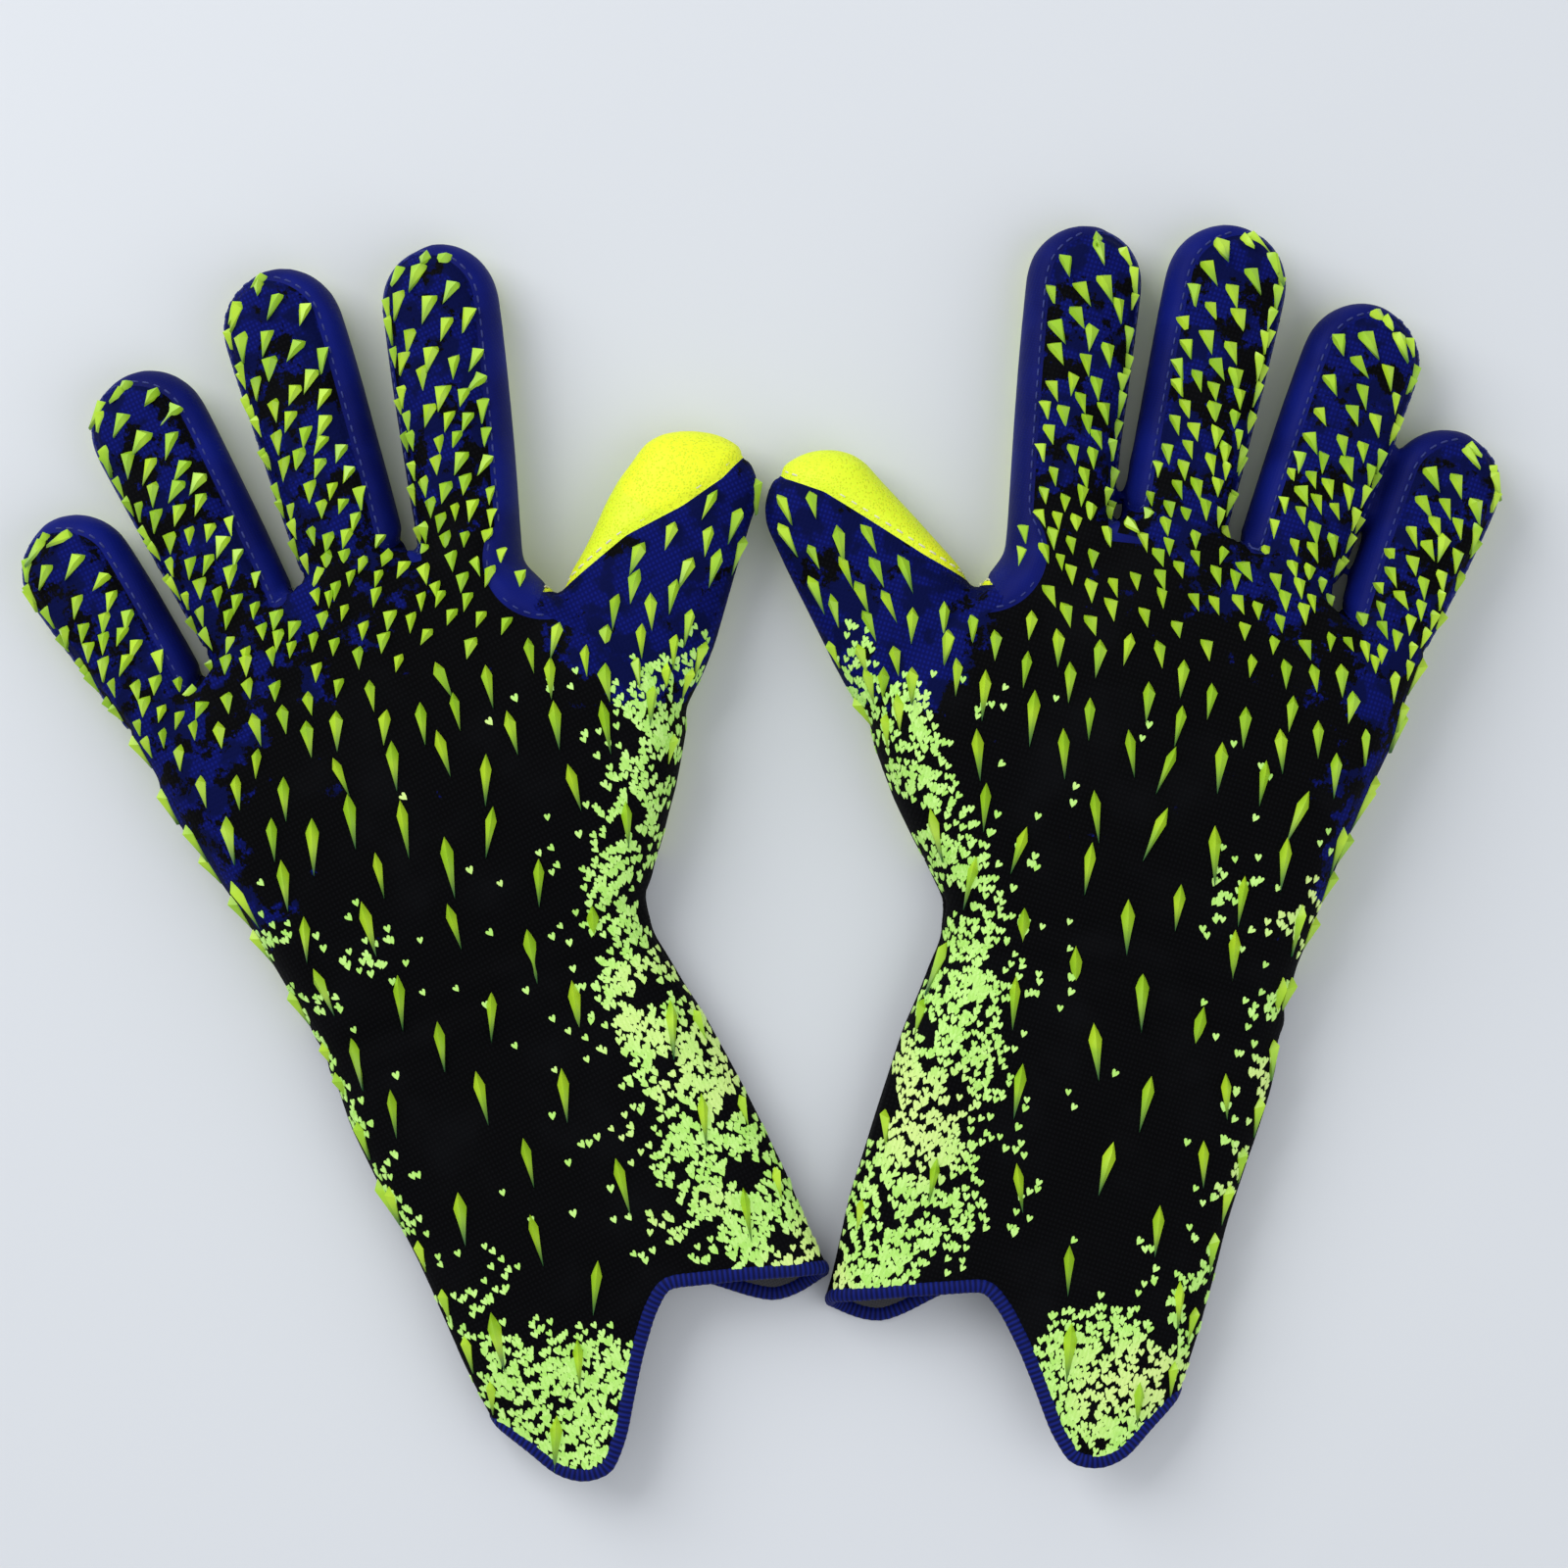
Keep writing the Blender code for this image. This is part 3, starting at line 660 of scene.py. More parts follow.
def stitch_shape():
    """One stitch: a short thread that dives into the cloth at both ends."""
    points = []
    for y, lift, thick in ((-1.05, -0.25, 0.16), (-0.6, 0.1, 0.26), (0.6, 0.1, 0.26), (1.05, -0.25, 0.16)):
        points += [(0.9 * thick * c, y, lift + thick * s) for c, s in STITCH_RING]
    faces = []
    for start in (0, 6, 12):
        for i in range(6):
            j = (i + 1) % 6
            faces.append((start + i, start + j, start + 6 + j, start + 6 + i))
    faces += [tuple(range(5, -1, -1)), tuple(range(18, 24))]
    return points, faces


def add_stitches(glove, name, body, chains, inset, step, material):
    """A row of stitches beside the edge of a panel."""
    frames = []
    for spots, normals, inside in chains:
        spots = eased(spots)
        normals = unit(eased(normals))
        inside = eased(inside)
        spots, (normals, inside) = resampled(spots, (normals, inside), step)
        if len(spots) < 4:
            continue
        ahead = unit(np.gradient(spots, axis=0))
        normals = unit(normals - (normals * ahead).sum(1, keepdims=True) * ahead)
        across = np.cross(ahead, normals)
        flip = np.sign((across * inside).sum(1, keepdims=True))
        at = spots + across * flip * inset
        frames += list(zip(at, across, ahead, normals))[1:-1]
    if frames:
        points, faces = stitch_shape()
        piece = joined_copies(f"{glove.name}_{name}", points, faces, frames, material)
        finish_piece(glove, piece, body, smooth=60)


def make_binding(glove, name, chains, material, node):
    """A ribbed binding folded over the cuff's hem."""
    spots, normals, inside = max(chains, key=lambda chain: len(chain[0]))
    spots = eased(spots, 10)
    spots, (normals, inside) = resampled(spots, (normals, inside), 0.9)
    ahead = unit(np.gradient(spots, axis=0))
    normals = unit(eased(normals, 10))
    normals = unit(normals - (normals * ahead).sum(1, keepdims=True) * ahead)
    outwards = np.cross(ahead, normals)
    outwards *= -np.sign((outwards * inside).sum(1, keepdims=True))
    count = 14
    turns = np.linspace(0, 2 * math.pi, count, endpoint=False)
    rings = []
    for i, spot in enumerate(spots):
        swell = 1 + 0.05 * (i % 2)
        centre = spot - 0.3 * outwards[i] - 0.75 * normals[i]
        wide, deep = 1.75 * swell * outwards[i], 1.35 * swell * normals[i]
        rings.append([centre + math.cos(t) * wide + math.sin(t) * deep for t in turns])
    bm = bmesh.new()
    loft(bm, rings)
    bmesh.ops.recalc_face_normals(bm, faces=bm.faces)
    mesh = mesh_of(bm, name)
    points = coordinates(mesh)
    points[:, 2] = np.maximum(points[:, 2], 0.1)
    set_coordinates(mesh, points)
    store(mesh, "length", np.repeat(np.arange(len(rings)) * 0.9 * MM, count))
    mesh.materials.append(material)
    finish_piece(glove, new_object(f"{glove.name}_{name}", mesh), "cuff", [node], smooth=60)


class Surface:
    """A glove's skin, to set small pieces on."""

    def __init__(self, mesh):
        self.tree = BVHTree.FromPolygons([v.co[:] for v in mesh.vertices], [p.vertices[:] for p in mesh.polygons])

    def below(self, x, y):
        hit, normal, _, _ = self.tree.ray_cast(Vector((x, y, 60)), Vector((0, 0, -1)))
        return hit, normal

    def beyond(self, start, direction):
        hit, normal, _, _ = self.tree.ray_cast(Vector(start), Vector(direction))
        return hit, normal


def scattered(rng, low, high, tries, spacing_of):
    """Points in a box that keep apart by the spacing wanted at each; a spacing of 0 leaves that place empty."""
    points = rng.uniform(low, high, (tries, 2))
    spacing = spacing_of(points)
    kept = np.empty((0, 2))
    for point, gap in zip(points, spacing):
        if gap > 0 and (len(kept) == 0 or ((kept - point) ** 2).sum(1).min() > gap * gap):
            kept = np.vstack((kept, point))
    return kept


def raised(points, height):
    """Points on the plan as points at one height."""
    return np.column_stack((points, np.full(len(points), height)))


def spike_points(width, head, tail, slant, height):
    """A spike, its head towards +Y and its tail towards -Y, with a ridge down it. A slant of 1 makes a tooth with a
    straight slanted head, and 0 a spindle."""
    half = width / 2
    shoulder = head * (0.5 + 0.1 * slant)
    outline = [
        (slant * half * 0.95, head), (-half * (0.55 - 0.4 * slant), shoulder), (-half, head * 0.12 * slant),
        (-half * 0.55, -0.42 * tail), (0.0, -tail), (half * 0.55, -0.42 * tail),
        (half * (1 - 0.08 * slant), 0.0), (half * (0.55 + 0.43 * slant), shoulder),
    ]
    base = [(x, y, -0.5) for x, y in outline]
    rim = [(0.95 * x, 0.96 * y, 0.22) for x, y in outline]
    ridge = [(slant * half * 0.45, head * 0.4, height)]
    ridge += [(0, -0.3 * tail, height * 0.6), (0, -0.7 * tail, height * 0.28)]
    return np.array(base + rim + ridge)


SPIKE_FACES = (
    [(i, (i + 1) % 8, 8 + (i + 1) % 8, 8 + i) for i in range(8)]
    + [(8, 9, 16), (9, 10, 16), (10, 11, 17, 16), (11, 12, 18, 17)]
    + [(12, 13, 17, 18), (13, 14, 16, 17), (14, 15, 16), (15, 8, 16)]
    + [tuple(range(7, -1, -1))]
)


def surface_frame(at, normal, towards):
    """A frame on the surface whose +Y points as near towards as the surface allows."""
    normal = np.array(normal)
    normal[2] = max(normal[2], 0.05)
    normal /= np.linalg.norm(normal)
    y = np.array((*towards, 0.0))
    y -= normal * (y @ normal)
    y /= np.linalg.norm(y)
    return np.array((at, np.cross(y, normal), y, normal))


def spike_spots(glove, rng, surface):
    """Where the spikes stand, by body: (place and frame, width, head, tail, slant, height)."""
    spots = {body: [] for body in ("hand", "cuff", *DIGITS)}

    def add(found, towards, size):
        hit, normal = found
        if hit is None:
            return
        width, head, tail, slant, height = size
        turn = rng.normal(0, 0.13)
        c, s = math.cos(turn), math.sin(turn)
        towards = (towards[0] * c - towards[1] * s, towards[0] * s + towards[1] * c)
        body = str(find_body(glove, np.array([hit]))[0])
        grow = rng.uniform(0.88, 1.14)
        stand = surface_frame(np.array(hit), normal, towards)
        spots[body].append((stand, width * grow, head * grow, tail * grow, slant, height))

    def tooth(along=0.0):
        slant = rng.uniform(0.55, 1.0)
        size = 0.84 + 0.22 * along
        width, head = size * rng.uniform(2.9, 3.8), rng.uniform(0.9, 1.5)
        return width, head, size * rng.uniform(4.2, 5.2) + 1.6 * along**2, slant, 1.8

    up = -glove.down

    def leaning(across, along=0.0):
        """Spikes stand along the way the glove lies, and lean with the side of the finger that they are on."""
        lean = 0.1 + 0.3 * across + 0.28 * along
        return up[0] * math.cos(lean) + up[1] * math.sin(lean), up[1] * math.cos(lean) - up[0] * math.sin(lean)

    for name in FINGERS:
        digit = glove.digits[name]
        tip = digit.width / 2

        def finger_spacing(points):
            own = raised(points, 0.0)
            inside = digit.inside_edge(own)
            thumb_side = smoothstep(0, 6, own[:, 0]) * (STRIP_THUMB_SIDE - 1.2) + 1.4
            gap = 4.15 + 1.9 * smoothstep(0.35, 0.95, own[:, 1] / digit.length)
            return np.where((inside > thumb_side * smoothstep(-6, 8, own[:, 1])) & (own[:, 1] > -5.5), gap, 0)

        for x, y in scattered(rng, (-tip, -6), (tip, digit.length), 3200, finger_spacing):
            at = digit.from_own([[x, y, 0]])[0]
            add(surface.below(at[0], at[1]), leaning(x / tip, y / digit.length), tooth(max(y, 0) / digit.length))
        for along in np.arange(8, digit.length - tip + 8, 10.5):
            start = digit.from_own([[0, along + rng.uniform(-2, 2), 9]])[0]
            add(surface.beyond(start, (*-digit.across, 0.38)), up, tooth())
        for turn in (100, 138):
            out = digit.across * math.cos(math.radians(turn)) + digit.ahead * math.sin(math.radians(turn))
            start = digit.from_own([[0, digit.length - tip, 9]])[0]
            add(surface.beyond(start, (*out, 0.5)), up, tooth())

    thumb = glove.digits["thumb"]

    def hand_spacing(points):
        x, y = points.T
        flat = raised(points, 15.0)
        ahead = y + 0.15 * x
        spacing = 4.6 + 1.6 * smoothstep(92, 74, ahead) + 1.8 * smoothstep(80, 62, ahead)
        spacing = spacing + 4.3 * smoothstep(66, 34, y) + 4.5 * smoothstep(20, -40, y)
        spacing = spacing + 3.0 * smoothstep(6, 30, x) * smoothstep(35, -10, y)
        own = thumb.to_own(flat)
        on_thumb = (own[:, 1] > -14) & (x > 46)
        spacing = np.where(on_thumb, 6.3, spacing)
        body = find_body(glove, flat)
        spacing = np.where(np.isin(body, FINGERS), 0, spacing)
        web = np.hypot(x - WEB_CENTRE[0], y - WEB_CENTRE[1]) < WEB_REACH + 2
        yellow = (own[:, 0] < polyline(glove.seam, own[:, 1]) + 2.2) & (own[:, 1] > -12)
        low_band = (y < 44) & (x > 24 + 0.1 * y) & (rng.random(len(x)) < 0.6)
        hem = hem_field(flat) < 12
        tab = (y < -72) & (rng.random(len(x)) < 0.5)
        return np.where(web | (yellow & (x > 40)) | low_band | hem | tab, 0, spacing)

    for x, y in scattered(rng, (-50, -105), (112, 106), 16000, hand_spacing):
        hit, normal = surface.below(x, y)
        if hit is None or hit[2] < 9.5:
            continue
        own = thumb.to_own(np.array([[x, y, 0.0]]))[0]
        if own[1] > -14 and x > 46:
            size = (rng.uniform(2.6, 3.2), rng.uniform(1.6, 2.6), rng.uniform(5.5, 8.0), rng.uniform(0.0, 0.6), 1.7)
            add((hit, normal), unit((0.2 + 0.06 * max(own[1], 0)) * thumb.ahead + up), size)
        elif y > 78 - 0.15 * x:
            add((hit, normal), leaning(x / 60), tooth())
        else:
            low = float(smoothstep(84, 40, np.array(y)))
            slant = rng.uniform(0.0, 0.7) * (1 - low)
            size = (rng.uniform(2.5, 3.1), 1.8 + 1.8 * low, 4.6 + 4.6 * low + rng.uniform(-0.6, 1.4), slant, 1.9)
            add((hit, normal), unit(up + np.array((0.0, 0.5))), size)
    for y in np.arange(-84, 88, 13.0):
        add(surface.beyond((-20, y + rng.uniform(-3, 3), 8), (-1, 0, 0.22)), up, (2.8, 2.4, 7.0, 0.0, 1.9))
    for y in (-70, -48, -26, 34, 46):
        add(surface.beyond((18, y + rng.uniform(-4, 4), 8), (1, 0, 0.22)), up, (2.8, 2.4, 6.0, 0.0, 1.9))
    return spots


def make_spikes(glove, rng, surface, material):
    for body, found in spike_spots(glove, rng, surface).items():
        if not found:
            continue
        shapes = np.array([spike_points(*spot[1:]) for spot in found])
        frames = np.array([spot[0] for spot in found])
        piece = joined_copies(f"{glove.name}_{body}_spikes", shapes, SPIKE_FACES, frames, material)
        reach = np.array([spot[3] for spot in found])
        tail = np.clip(-shapes[:, :, 1] / reach[:, None], 0, 1)
        fade = np.repeat(0.45 + 0.55 * smoothstep(4.0, 9.0, reach), shapes.shape[1])
        store(piece.data, "tail", tail.ravel() * fade)
        finish_piece(glove, piece, body, smooth=32)


CHIP_OUTLINE = ((0.0, 0.28), (-0.28, 0.78), (-0.68, 0.82), (-0.88, 0.42), (-0.62, -0.3), (0.0, -1.12), (0.62, -0.3),
                (0.88, 0.42), (0.68, 0.82), (0.28, 0.78))


def chip_share(points, clump):
    """How much of the knit the printed chips cover: solid along the thumb's side, thin in the middle."""
    x, y = points.T
    thumb_edge = np.interp(y, [row[0] for row in HAND_ROWS], [row[2] for row in HAND_ROWS])
    outer_edge = np.interp(y, [row[0] for row in HAND_ROWS], [row[1] for row in HAND_ROWS])
    inward = thumb_edge - x
    width = np.interp(y, (-95, -70, -45, -20, 0, 20, 40, 50), (22, 26, 22, 19, 13, 16, 15, 12))
    band = smoothstep(width + 8, width - 6, inward) * smoothstep(0.12, 0.55, clump)
    band = band * smoothstep(56, 40, y)
    thin = 0.16 * smoothstep(width + 30, width, inward) * smoothstep(0.5, 0.75, clump)
    edge = smoothstep(14, 2, x - outer_edge) * smoothstep(46, 28, y) * smoothstep(0.48, 0.66, clump) * 0.75
    lower = smoothstep(26, 8, x - outer_edge) * smoothstep(-40, -84, y) * smoothstep(0.4, 0.6, clump) * 0.6
    tab = smoothstep(24, 13, np.hypot(x + 27, (y + 97) * 0.95)) * (0.5 + 0.7 * clump)
    patch = 0.35 * smoothstep(14, 6, np.hypot(x + 22, y - 22)) * smoothstep(0.5, 0.62, clump)
    return np.clip(np.maximum.reduce((band, thin, edge, lower, tab, patch)) + 0.004, 0, 1)


def make_chips(glove, rng, surface, material):
    tries = 26000
    points = np.stack((rng.uniform(-48, 84, tries), rng.uniform(-114, 58, tries)), 1)
    clump = np.array([noise.noise(Vector((p[0] * 0.13, p[1] * 0.13, 4 * glove.side))) for p in points])
    fine = np.array([noise.noise(Vector((p[0] * 0.4, p[1] * 0.4, 9 * glove.side))) for p in points])
    clump = np.clip(0.5 + 0.75 * clump + 0.4 * fine, 0, 1)
    chosen = rng.random(tries) < chip_share(points, clump) * 0.66
    chosen &= hem_field(raised(points, 15.0)) > 1.8
    found = {"hand": [], "cuff": [], "thumb": []}
    for x, y in points[chosen]:
        hit, normal = surface.below(x, y)
        if hit is None or hit[2] < 7.6:
            continue
        body = str(find_body(glove, np.array([hit]))[0])
        if body not in found:
            continue
        turn = rng.normal(-0.05, 0.22)
        frame = surface_frame(np.array(hit), normal, (math.sin(turn), math.cos(turn)))
        frame[1:3] *= rng.uniform(0.82, 1.04)
        frame[0] += frame[3] * rng.uniform(0.02, 0.1)
        found[body].append(frame)
    top = [(x, y, 0.12) for x, y in CHIP_OUTLINE]
    foot = [(1.04 * x, 1.04 * y, -0.25) for x, y in CHIP_OUTLINE]
    count = len(CHIP_OUTLINE)
    faces = [tuple(range(count)), tuple(range(2 * count - 1, count - 1, -1))]
    faces += [(i, count + i, count + (i + 1) % count, (i + 1) % count) for i in range(count)]
    for body, frames in found.items():
        if not frames:
            continue
        piece = joined_copies(f"{glove.name}_{body}_chips", top + foot, faces, frames, material)
        store(piece.data, "shade", np.repeat(rng.random(len(frames)), 2 * count))
        finish_piece(glove, piece, body, smooth=20)


# ----------------------------------------------
# Materials


class Finish:
    """A node material under construction."""

    def __init__(self, name, roughness=0.6, **settings):
        self.material = bpy.data.materials.new(name)
        self.material.use_nodes = True
        self.tree = self.material.node_tree
        self.shader = self.tree.nodes["Principled BSDF"]
        self.shader.inputs["Roughness"].default_value = roughness
        for socket, value in settings.items():
            self.shader.inputs[socket.replace("_", " ")].default_value = value

    def node(self, kind, **settings):
        node = self.tree.nodes.new(kind)
        for key, value in settings.items():
            setattr(node, key, value)
        return node

    def link(self, source, target):
        self.tree.links.new(source, target)

    def value_of(self, node_input, value):
        if isinstance(value, bpy.types.NodeSocket):
            self.link(value, node_input)
        else:
            node_input.default_value = value

    def math(self, operation, a, b=0.0, clamp=False):
        node = self.node("ShaderNodeMath", operation=operation, use_clamp=clamp)
        self.value_of(node.inputs[0], a)
        self.value_of(node.inputs[1], b)
        return node.outputs[0]

    def mix(self, share, first, second):
        node = self.node("ShaderNodeMix", data_type="RGBA")
        self.value_of(node.inputs[0], share)
        self.value_of(node.inputs[6], first)
        self.value_of(node.inputs[7], second)
        return node.outputs[2]

    def ramp(self, value, low, high):
        node = self.node("ShaderNodeMapRange", interpolation_type="SMOOTHSTEP")
        self.value_of(node.inputs[0], value)
        node.inputs[1].default_value = low
        node.inputs[2].default_value = high
        return node.outputs[0]

    def attribute(self, name):
        return self.node("ShaderNodeAttribute", attribute_name=name)

    def place(self):
        return self.attribute("rest").outputs["Vector"]

    def texture(self, kind, output, sockets, vector=None, **settings):
        node = self.node(kind, **settings)
        for socket, value in sockets.items():
            node.inputs[socket].default_value = value
        self.link(vector or self.place(), node.inputs["Vector"])
        return node.outputs[output]

    def noise(self, scale, detail=2.0, rough=0.5, vector=None):
        sockets = {"Scale": scale, "Detail": detail, "Roughness": rough}
        return self.texture("ShaderNodeTexNoise", 0, sockets, vector)

    def cells(self, scale):
        return self.texture("ShaderNodeTexVoronoi", "Distance", {"Scale": scale}, feature="F1")

    def wave(self, scale, direction, distortion=0.0):
        sockets = {"Scale": scale, "Distortion": distortion, "Detail": 1.0}
        return self.texture("ShaderNodeTexWave", "Fac", sockets, bands_direction=direction)

    def colour(self, value):
        self.value_of(self.shader.inputs["Base Color"], value)

    def bump(self, height, strength, distance=0.0003):
        node = self.node("ShaderNodeBump")
        node.inputs["Strength"].default_value = strength
        node.inputs["Distance"].default_value = distance
        self.link(height, node.inputs["Height"])
        self.link(node.outputs[0], self.shader.inputs["Normal"])


def knit_finish(name, marbled):
    """Flat knit with fine ribs; the marbled one has royal-blue clouds."""
    finish = Finish(name, 0.8, Sheen_Weight=0.0, Specular_IOR_Level=0.05)
    ribs = finish.wave(330, "X")
    rows = finish.wave(270, "Y", 0.6)
    stitch = finish.math("MULTIPLY", ribs, rows)
    black = finish.mix(stitch, (0.0006, 0.0006, 0.001, 1), (0.0026, 0.0028, 0.0036, 1))
    worn = finish.ramp(finish.noise(60, 3), 0.45, 0.8)
    black = finish.mix(finish.math("MULTIPLY", worn, 0.35), black, (0.005, 0.0055, 0.007, 1))
    if marbled:
        blue = finish.mix(stitch, (0.0018, 0.004, 0.078, 1), (0.0042, 0.01, 0.165, 1))
        blue = finish.mix(finish.ramp(finish.noise(150, 3), 0.45, 0.56), blue, (0.0014, 0.0035, 0.045, 1))
        cloud = finish.noise(95, 6, 0.72)
        share = finish.attribute("blue").outputs["Fac"]
        level = finish.math("SUBTRACT", finish.math("ADD", finish.math("MULTIPLY", share, 0.4), cloud), 0.68)
        black = finish.mix(finish.ramp(level, -0.01, 0.025), black, blue)
    finish.colour(black)
    finish.bump(finish.math("ADD", stitch, finish.noise(900, 2)), 0.35, 0.00025)
    return finish.material


def gusset_finish(name, deep=(0.0016, 0.004, 0.08, 1), light=(0.0028, 0.008, 0.15, 1)):
    """Smooth royal-blue stretch cloth."""
    finish = Finish(name, 0.6, Sheen_Weight=0.01, Sheen_Roughness=0.4, Specular_IOR_Level=0.08)
    weave = finish.math("MULTIPLY", finish.wave(520, "X"), finish.wave(520, "Y"))
    tone = finish.mix(finish.ramp(finish.noise(45, 3), 0.35, 0.7), deep, light)
    finish.colour(finish.mix(finish.math("MULTIPLY", weave, 0.4), tone, light))
    finish.bump(weave, 0.2, 0.00015)
    return finish.material


def binding_finish(name):
    finish = Finish(name, 0.65, Sheen_Weight=0.02, Sheen_Roughness=0.4, Specular_IOR_Level=0.1)
    along = finish.attribute("length").outputs["Fac"]
    rib = finish.math("SINE", finish.math("MULTIPLY", along, 2 * math.pi / 0.0012))
    rib = finish.ramp(rib, -1, 1)
    tone = finish.mix(finish.noise(70, 2), (0.003, 0.008, 0.11, 1), (0.005, 0.014, 0.2, 1))
    finish.colour(finish.mix(rib, (0.001, 0.003, 0.045, 1), tone))
    finish.bump(rib, 0.5, 0.0003)
    return finish.material


def latex_finish(name):
    """Fluorescent yellow latex foam: a fine open pore, and broad waves in a second tone."""
    finish = Finish(name, 0.62, Subsurface_Weight=0.08, Subsurface_Scale=0.002)
    pores = finish.ramp(finish.cells(1500), 0.1, 0.5)
    mottle = finish.noise(70, 4, 0.6)
    wave = finish.ramp(finish.wave(9, "DIAGONAL", 3.0), 0.46, 0.54)
    tone = finish.mix(finish.math("MULTIPLY", wave, 0.35), (0.78, 0.9, 0.0, 1), (0.52, 0.86, 0.02, 1))
    tone = finish.mix(finish.math("MULTIPLY", mottle, 0.3), tone, (0.95, 0.95, 0.03, 1))
    finish.colour(finish.mix(pores, (0.6, 0.72, 0.0, 1), tone))
    finish.bump(finish.math("ADD", pores, mottle), 0.35, 0.0004)
    return finish.material


def spike_finish(name):
    """Lime rubber that fades to dark green down a long tail."""
    finish = Finish(name, 0.42, Coat_Weight=0.12, Coat_Roughness=0.35)
    tail = finish.ramp(finish.attribute("tail").outputs["Fac"], 0.1, 1.0)
    tone = finish.mix(finish.ramp(finish.noise(90, 2), 0.35, 0.65), (0.3, 0.56, 0.014, 1), (0.45, 0.7, 0.022, 1))
    finish.colour(finish.mix(tail, tone, (0.01, 0.09, 0.022, 1)))
    finish.bump(finish.noise(1400, 2), 0.08, 0.0001)
    return finish.material


def chip_finish(name):
    """Printed chips, pale yellow-green and each a little different."""
    finish = Finish(name, 0.6)
    shade = finish.attribute("shade").outputs["Fac"]
    tone = finish.mix(shade, (0.4, 0.76, 0.13, 1), (0.55, 0.88, 0.24, 1))
    tone = finish.mix(finish.ramp(finish.noise(28, 2), 0.55, 0.72), tone, (0.66, 0.84, 0.27, 1))
    finish.colour(finish.mix(finish.math("MULTIPLY", finish.wave(330, "X"), 0.2), tone, (0.3, 0.6, 0.04, 1)))
    finish.bump(finish.wave(330, "X"), 0.15, 0.0001)
    return finish.material


def plain_finish(name, first, second, roughness=0.8, scale=500):
    """Lining, foam, elastic and thread: one colour with a fine weave."""
    finish = Finish(name, roughness, Sheen_Weight=0.1)
    weave = finish.math("MULTIPLY", finish.wave(scale, "X"), finish.wave(scale, "Y"))
    tone = finish.mix(finish.noise(80, 3), first, second)
    finish.colour(finish.mix(weave, tone, second))
    finish.bump(weave, 0.3, 0.0002)
    return finish.material


def floor_finish():
    finish = Finish("pale_paper", 0.9, Specular_IOR_Level=0.1)
    coordinates_node = finish.node("ShaderNodeTexCoord")
    tone = finish.noise(3, 2, 0.5, coordinates_node.outputs["Object"])
    finish.colour(finish.mix(tone, (0.61, 0.635, 0.67, 1), (0.65, 0.675, 0.71, 1)))
    return finish.material


# ----------------------------------------------
# The studio


def make_studio():
    bpy.ops.mesh.primitive_plane_add(size=6)
    floor = bpy.context.object
    floor.name = "floor"
    floor.data.materials.append(floor_finish())
    floor.location = (0, 0, 0)
    camera = bpy.data.objects.new("camera", bpy.data.cameras.new("camera"))
    bpy.context.scene.collection.objects.link(camera)
    camera.data.lens = 100
    camera.data.sensor_width = 36
    camera.location = (0.0058, 0.0184, 0.012 + 0.368 * 100 / 36)
    bpy.context.scene.camera = camera
    for name, place, size, power in (("key", (-0.95, 0.85, 1.0), 1.2, 19), ("fill", (1.1, -0.4, 1.1), 1.6, 8)):
        lamp = bpy.data.lights.new(name, "AREA")
        lamp.size = size
        lamp.energy = power
        light = bpy.data.objects.new(name, lamp)
        bpy.context.scene.collection.objects.link(light)
        light.location = place
        light.rotation_euler = (-Vector(place)).to_track_quat("-Z", "Y").to_euler()
    world = bpy.data.worlds.new("studio")
    world.use_nodes = True
    world.node_tree.nodes["Background"].inputs["Color"].default_value = (0.95, 0.97, 1.0, 1)
    world.node_tree.nodes["Background"].inputs["Strength"].default_value = 0.62
    bpy.context.scene.world = world
    bpy.context.scene.view_settings.view_transform = "Standard"


# ----------------------------------------------
# The gloves


def panel_slot(panel):
    if "gusset" in panel:
        return "gusset"
    if "latex" in panel:
        return "latex"
    return "cuff_knit" if "cuff" in panel else "spiked_knit"


def make_panel(glove, body, panel, bm, finishes):
    slot = panel_slot(panel)
    mesh = mesh_of(bm, panel)
    chains = edge_chains(mesh, lambda spots: seam_spots(glove, body, panel, spots))
    hem = edge_chains(mesh, lambda spots: np.abs(hem_field(spots)) < 0.3) if body == "cuff" else []
    piece = new_object(f"{glove.name}_{panel}_skin", mesh)
    wall = {"gusset": WALL["gusset"], "latex": WALL["latex"]}.get(slot, WALL["knit"])
    give_wall(piece, wall, (finishes[slot], finishes["lining"]))
    finish_piece(glove, piece, body, [f"{glove.name}_{panel}"])
    if slot in ("latex", "gusset") and chains:
        thread = finishes["cream_thread"] if slot == "latex" else finishes["blue_thread"]
        inset, step = (1.5, 3.0) if slot == "latex" else (1.0, 2.6)
        add_stitches(glove, f"{panel}_stitches", body, chains, inset, step, thread)
    if hem:
        side = "palm" if "palm" in panel else "back"
        make_binding(glove, f"hem_binding_{side}_tape", hem, finishes["binding"], f"{glove.name}_hem_binding_{side}")


def seam_spots(glove, body, panel, spots):
    """Which of these points on a panel's edge lie on a seam, not where the skin passes from body to body."""
    latex, gusset = panel_fields(glove, spots, body)
    if "latex" in panel:
        return np.abs(latex) < 0.4
    return (np.abs(gusset) < 0.4) & (latex < -0.3)


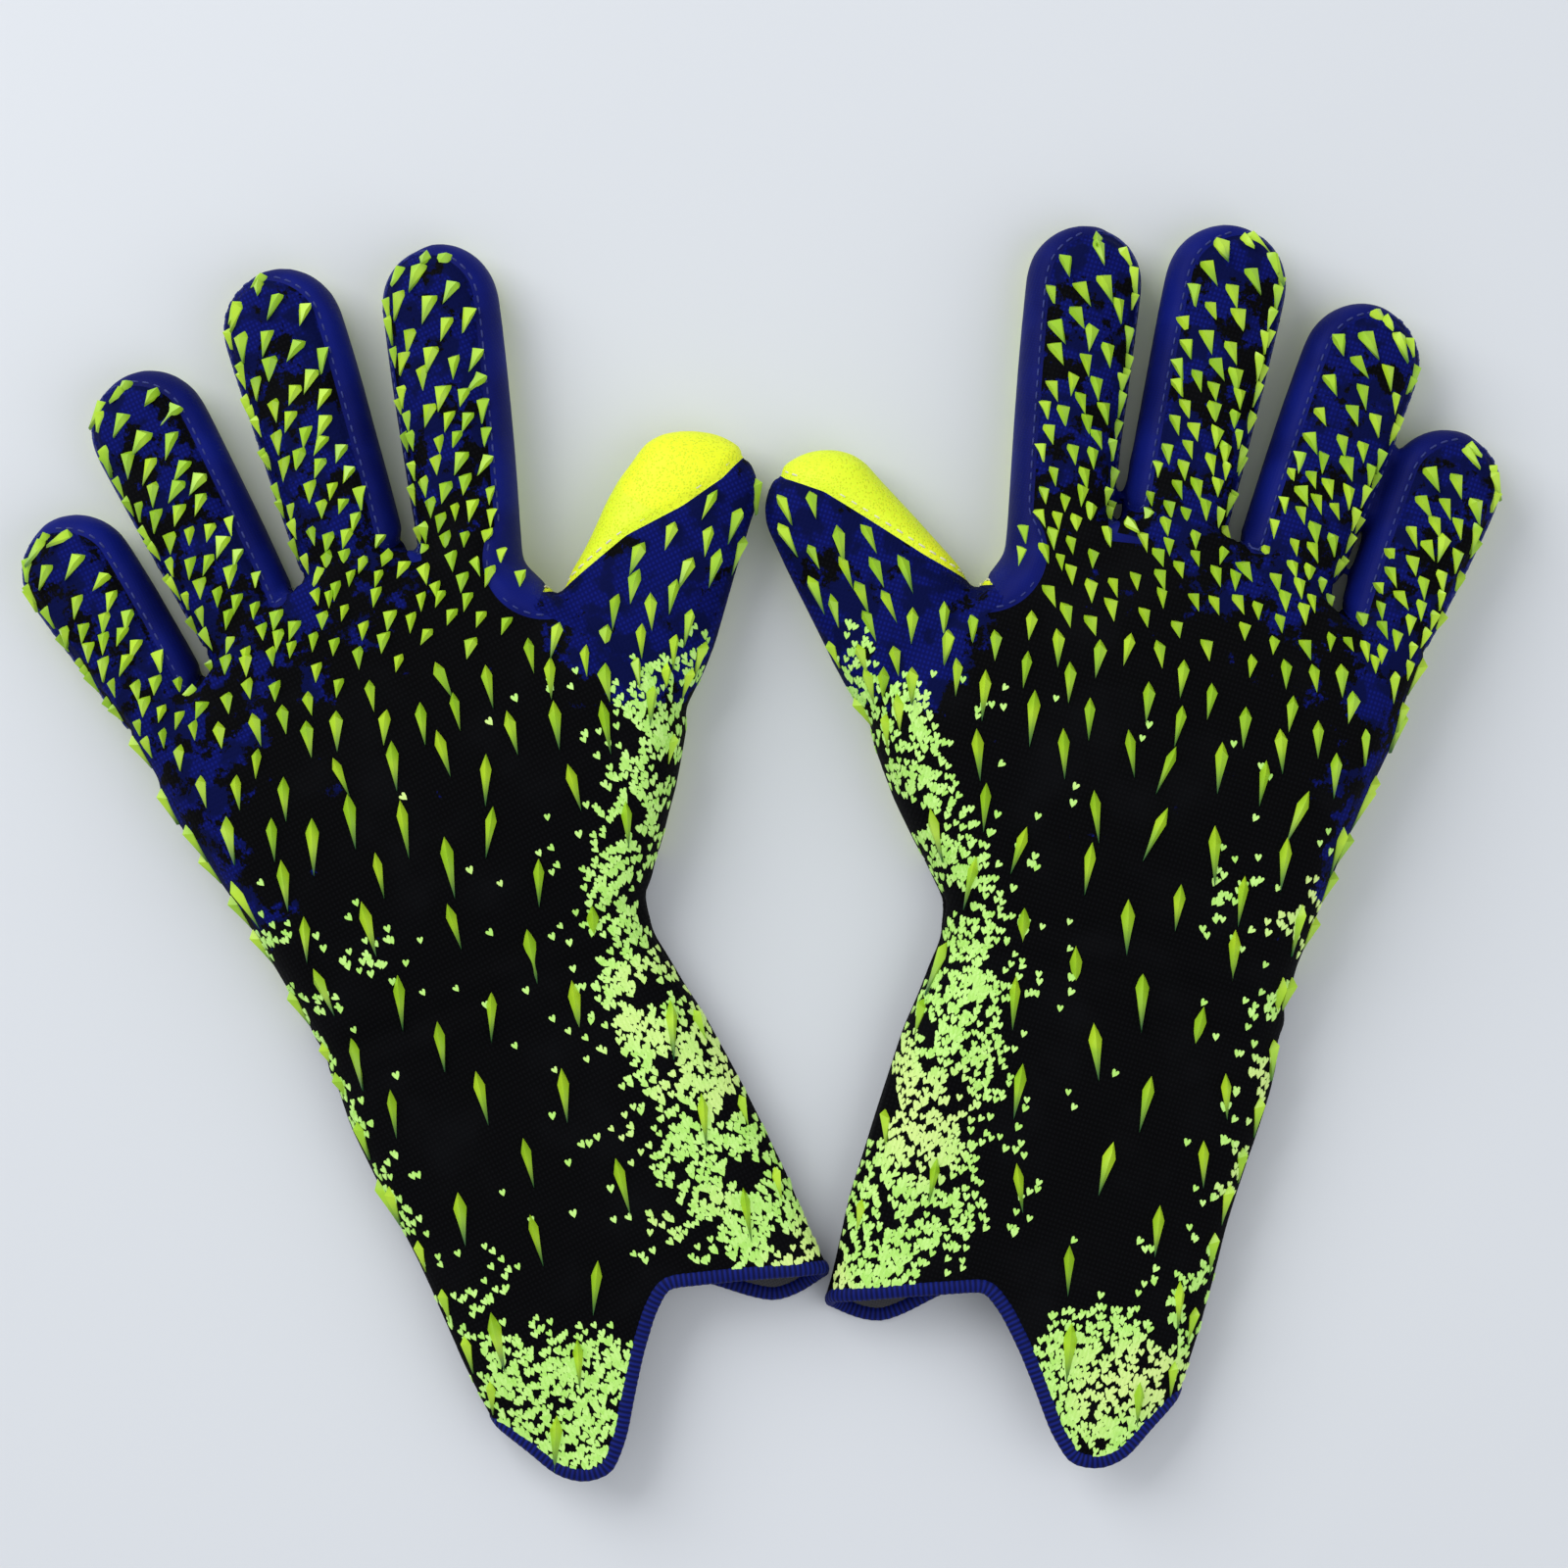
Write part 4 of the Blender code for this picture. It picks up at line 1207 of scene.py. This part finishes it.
def make_inside(glove, surface, finishes):
    """The foam behind the back of the hand, and the elastic round the inside of the wrist."""
    for node, body, rows, columns, drop, thick, finish, slot in (
        ("backhand_foam", "hand", np.linspace(26, 74, 17), np.linspace(-30, 34, 22), 2.6, 2.4, "foam", "foam"),
        ("wrist_elastic", "hand", np.linspace(14, 26, 9), np.linspace(-32, 42, 34), 2.3, 1.2, "elastic", "elastic"),
    ):
        grid = []
        for i, y in enumerate(rows):
            line = []
            for x in columns:
                ripple = 0.25 * math.sin(i * 2.4) * (node == "wrist_elastic")
                line.append((x, y, surface.below(x, y)[0][2] - drop + ripple))
            grid.append(line)
        bm = bmesh.new()
        verts = [[bm.verts.new(point) for point in line] for line in grid]
        for a, b in zip(verts, verts[1:]):
            for i in range(len(a) - 1):
                bm.faces.new((a[i], a[i + 1], b[i + 1], b[i]))
        piece = new_object(f"{glove.name}_{node}_pad", mesh_of(bm, node))
        give_wall(piece, thick, (finishes[finish],))
        apply_modifier(piece, "BEVEL", width=0.5, segments=2, limit_method="ANGLE")
        finish_piece(glove, piece, body, [f"{glove.name}_{node}"])


def make_glove(name, side, finishes):
    glove = Glove(name, side)
    rng = np.random.default_rng(41 + side)
    body = body_mesh(glove)
    shape_skin(glove, body.data)
    surface = Surface(body.data)
    for part, bm in cut_bodies(glove, body.data).items():
        for panel, piece in cut_panels(glove, part, bm).items():
            make_panel(glove, part, panel, piece, finishes)
    make_inside(glove, surface, finishes)
    make_spikes(glove, rng, surface, finishes["spikes"])
    make_chips(glove, rng, surface, finishes["chips"])
    bpy.data.objects.remove(body)


deselect_all()
make_studio()
FINISHES = {
    "spiked_knit": knit_finish("marbled_knit", True),
    "cuff_knit": knit_finish("cuff_knit", False),
    "gusset": gusset_finish("stretch_gusset"),
    "latex": latex_finish("latex_foam"),
    "binding": binding_finish("ribbed_binding"),
    "spikes": spike_finish("lime_rubber"),
    "chips": chip_finish("printed_chips"),
    "lining": plain_finish("lining", (0.02, 0.02, 0.024, 1), (0.05, 0.05, 0.058, 1)),
    "foam": plain_finish("foam", (0.28, 0.28, 0.3, 1), (0.4, 0.4, 0.42, 1), 0.9, 200),
    "elastic": plain_finish("elastic", (0.01, 0.01, 0.012, 1), (0.03, 0.03, 0.035, 1), 0.8, 300),
    "cream_thread": plain_finish("cream_thread", (0.62, 0.6, 0.36, 1), (0.8, 0.78, 0.55, 1), 0.7, 900),
    "blue_thread": plain_finish("blue_thread", (0.003, 0.01, 0.11, 1), (0.006, 0.02, 0.2, 1), 0.6, 900),
}
for glove_name, glove_side in (("left", 1), ("right", -1)):
    make_glove(glove_name, glove_side, FINISHES)
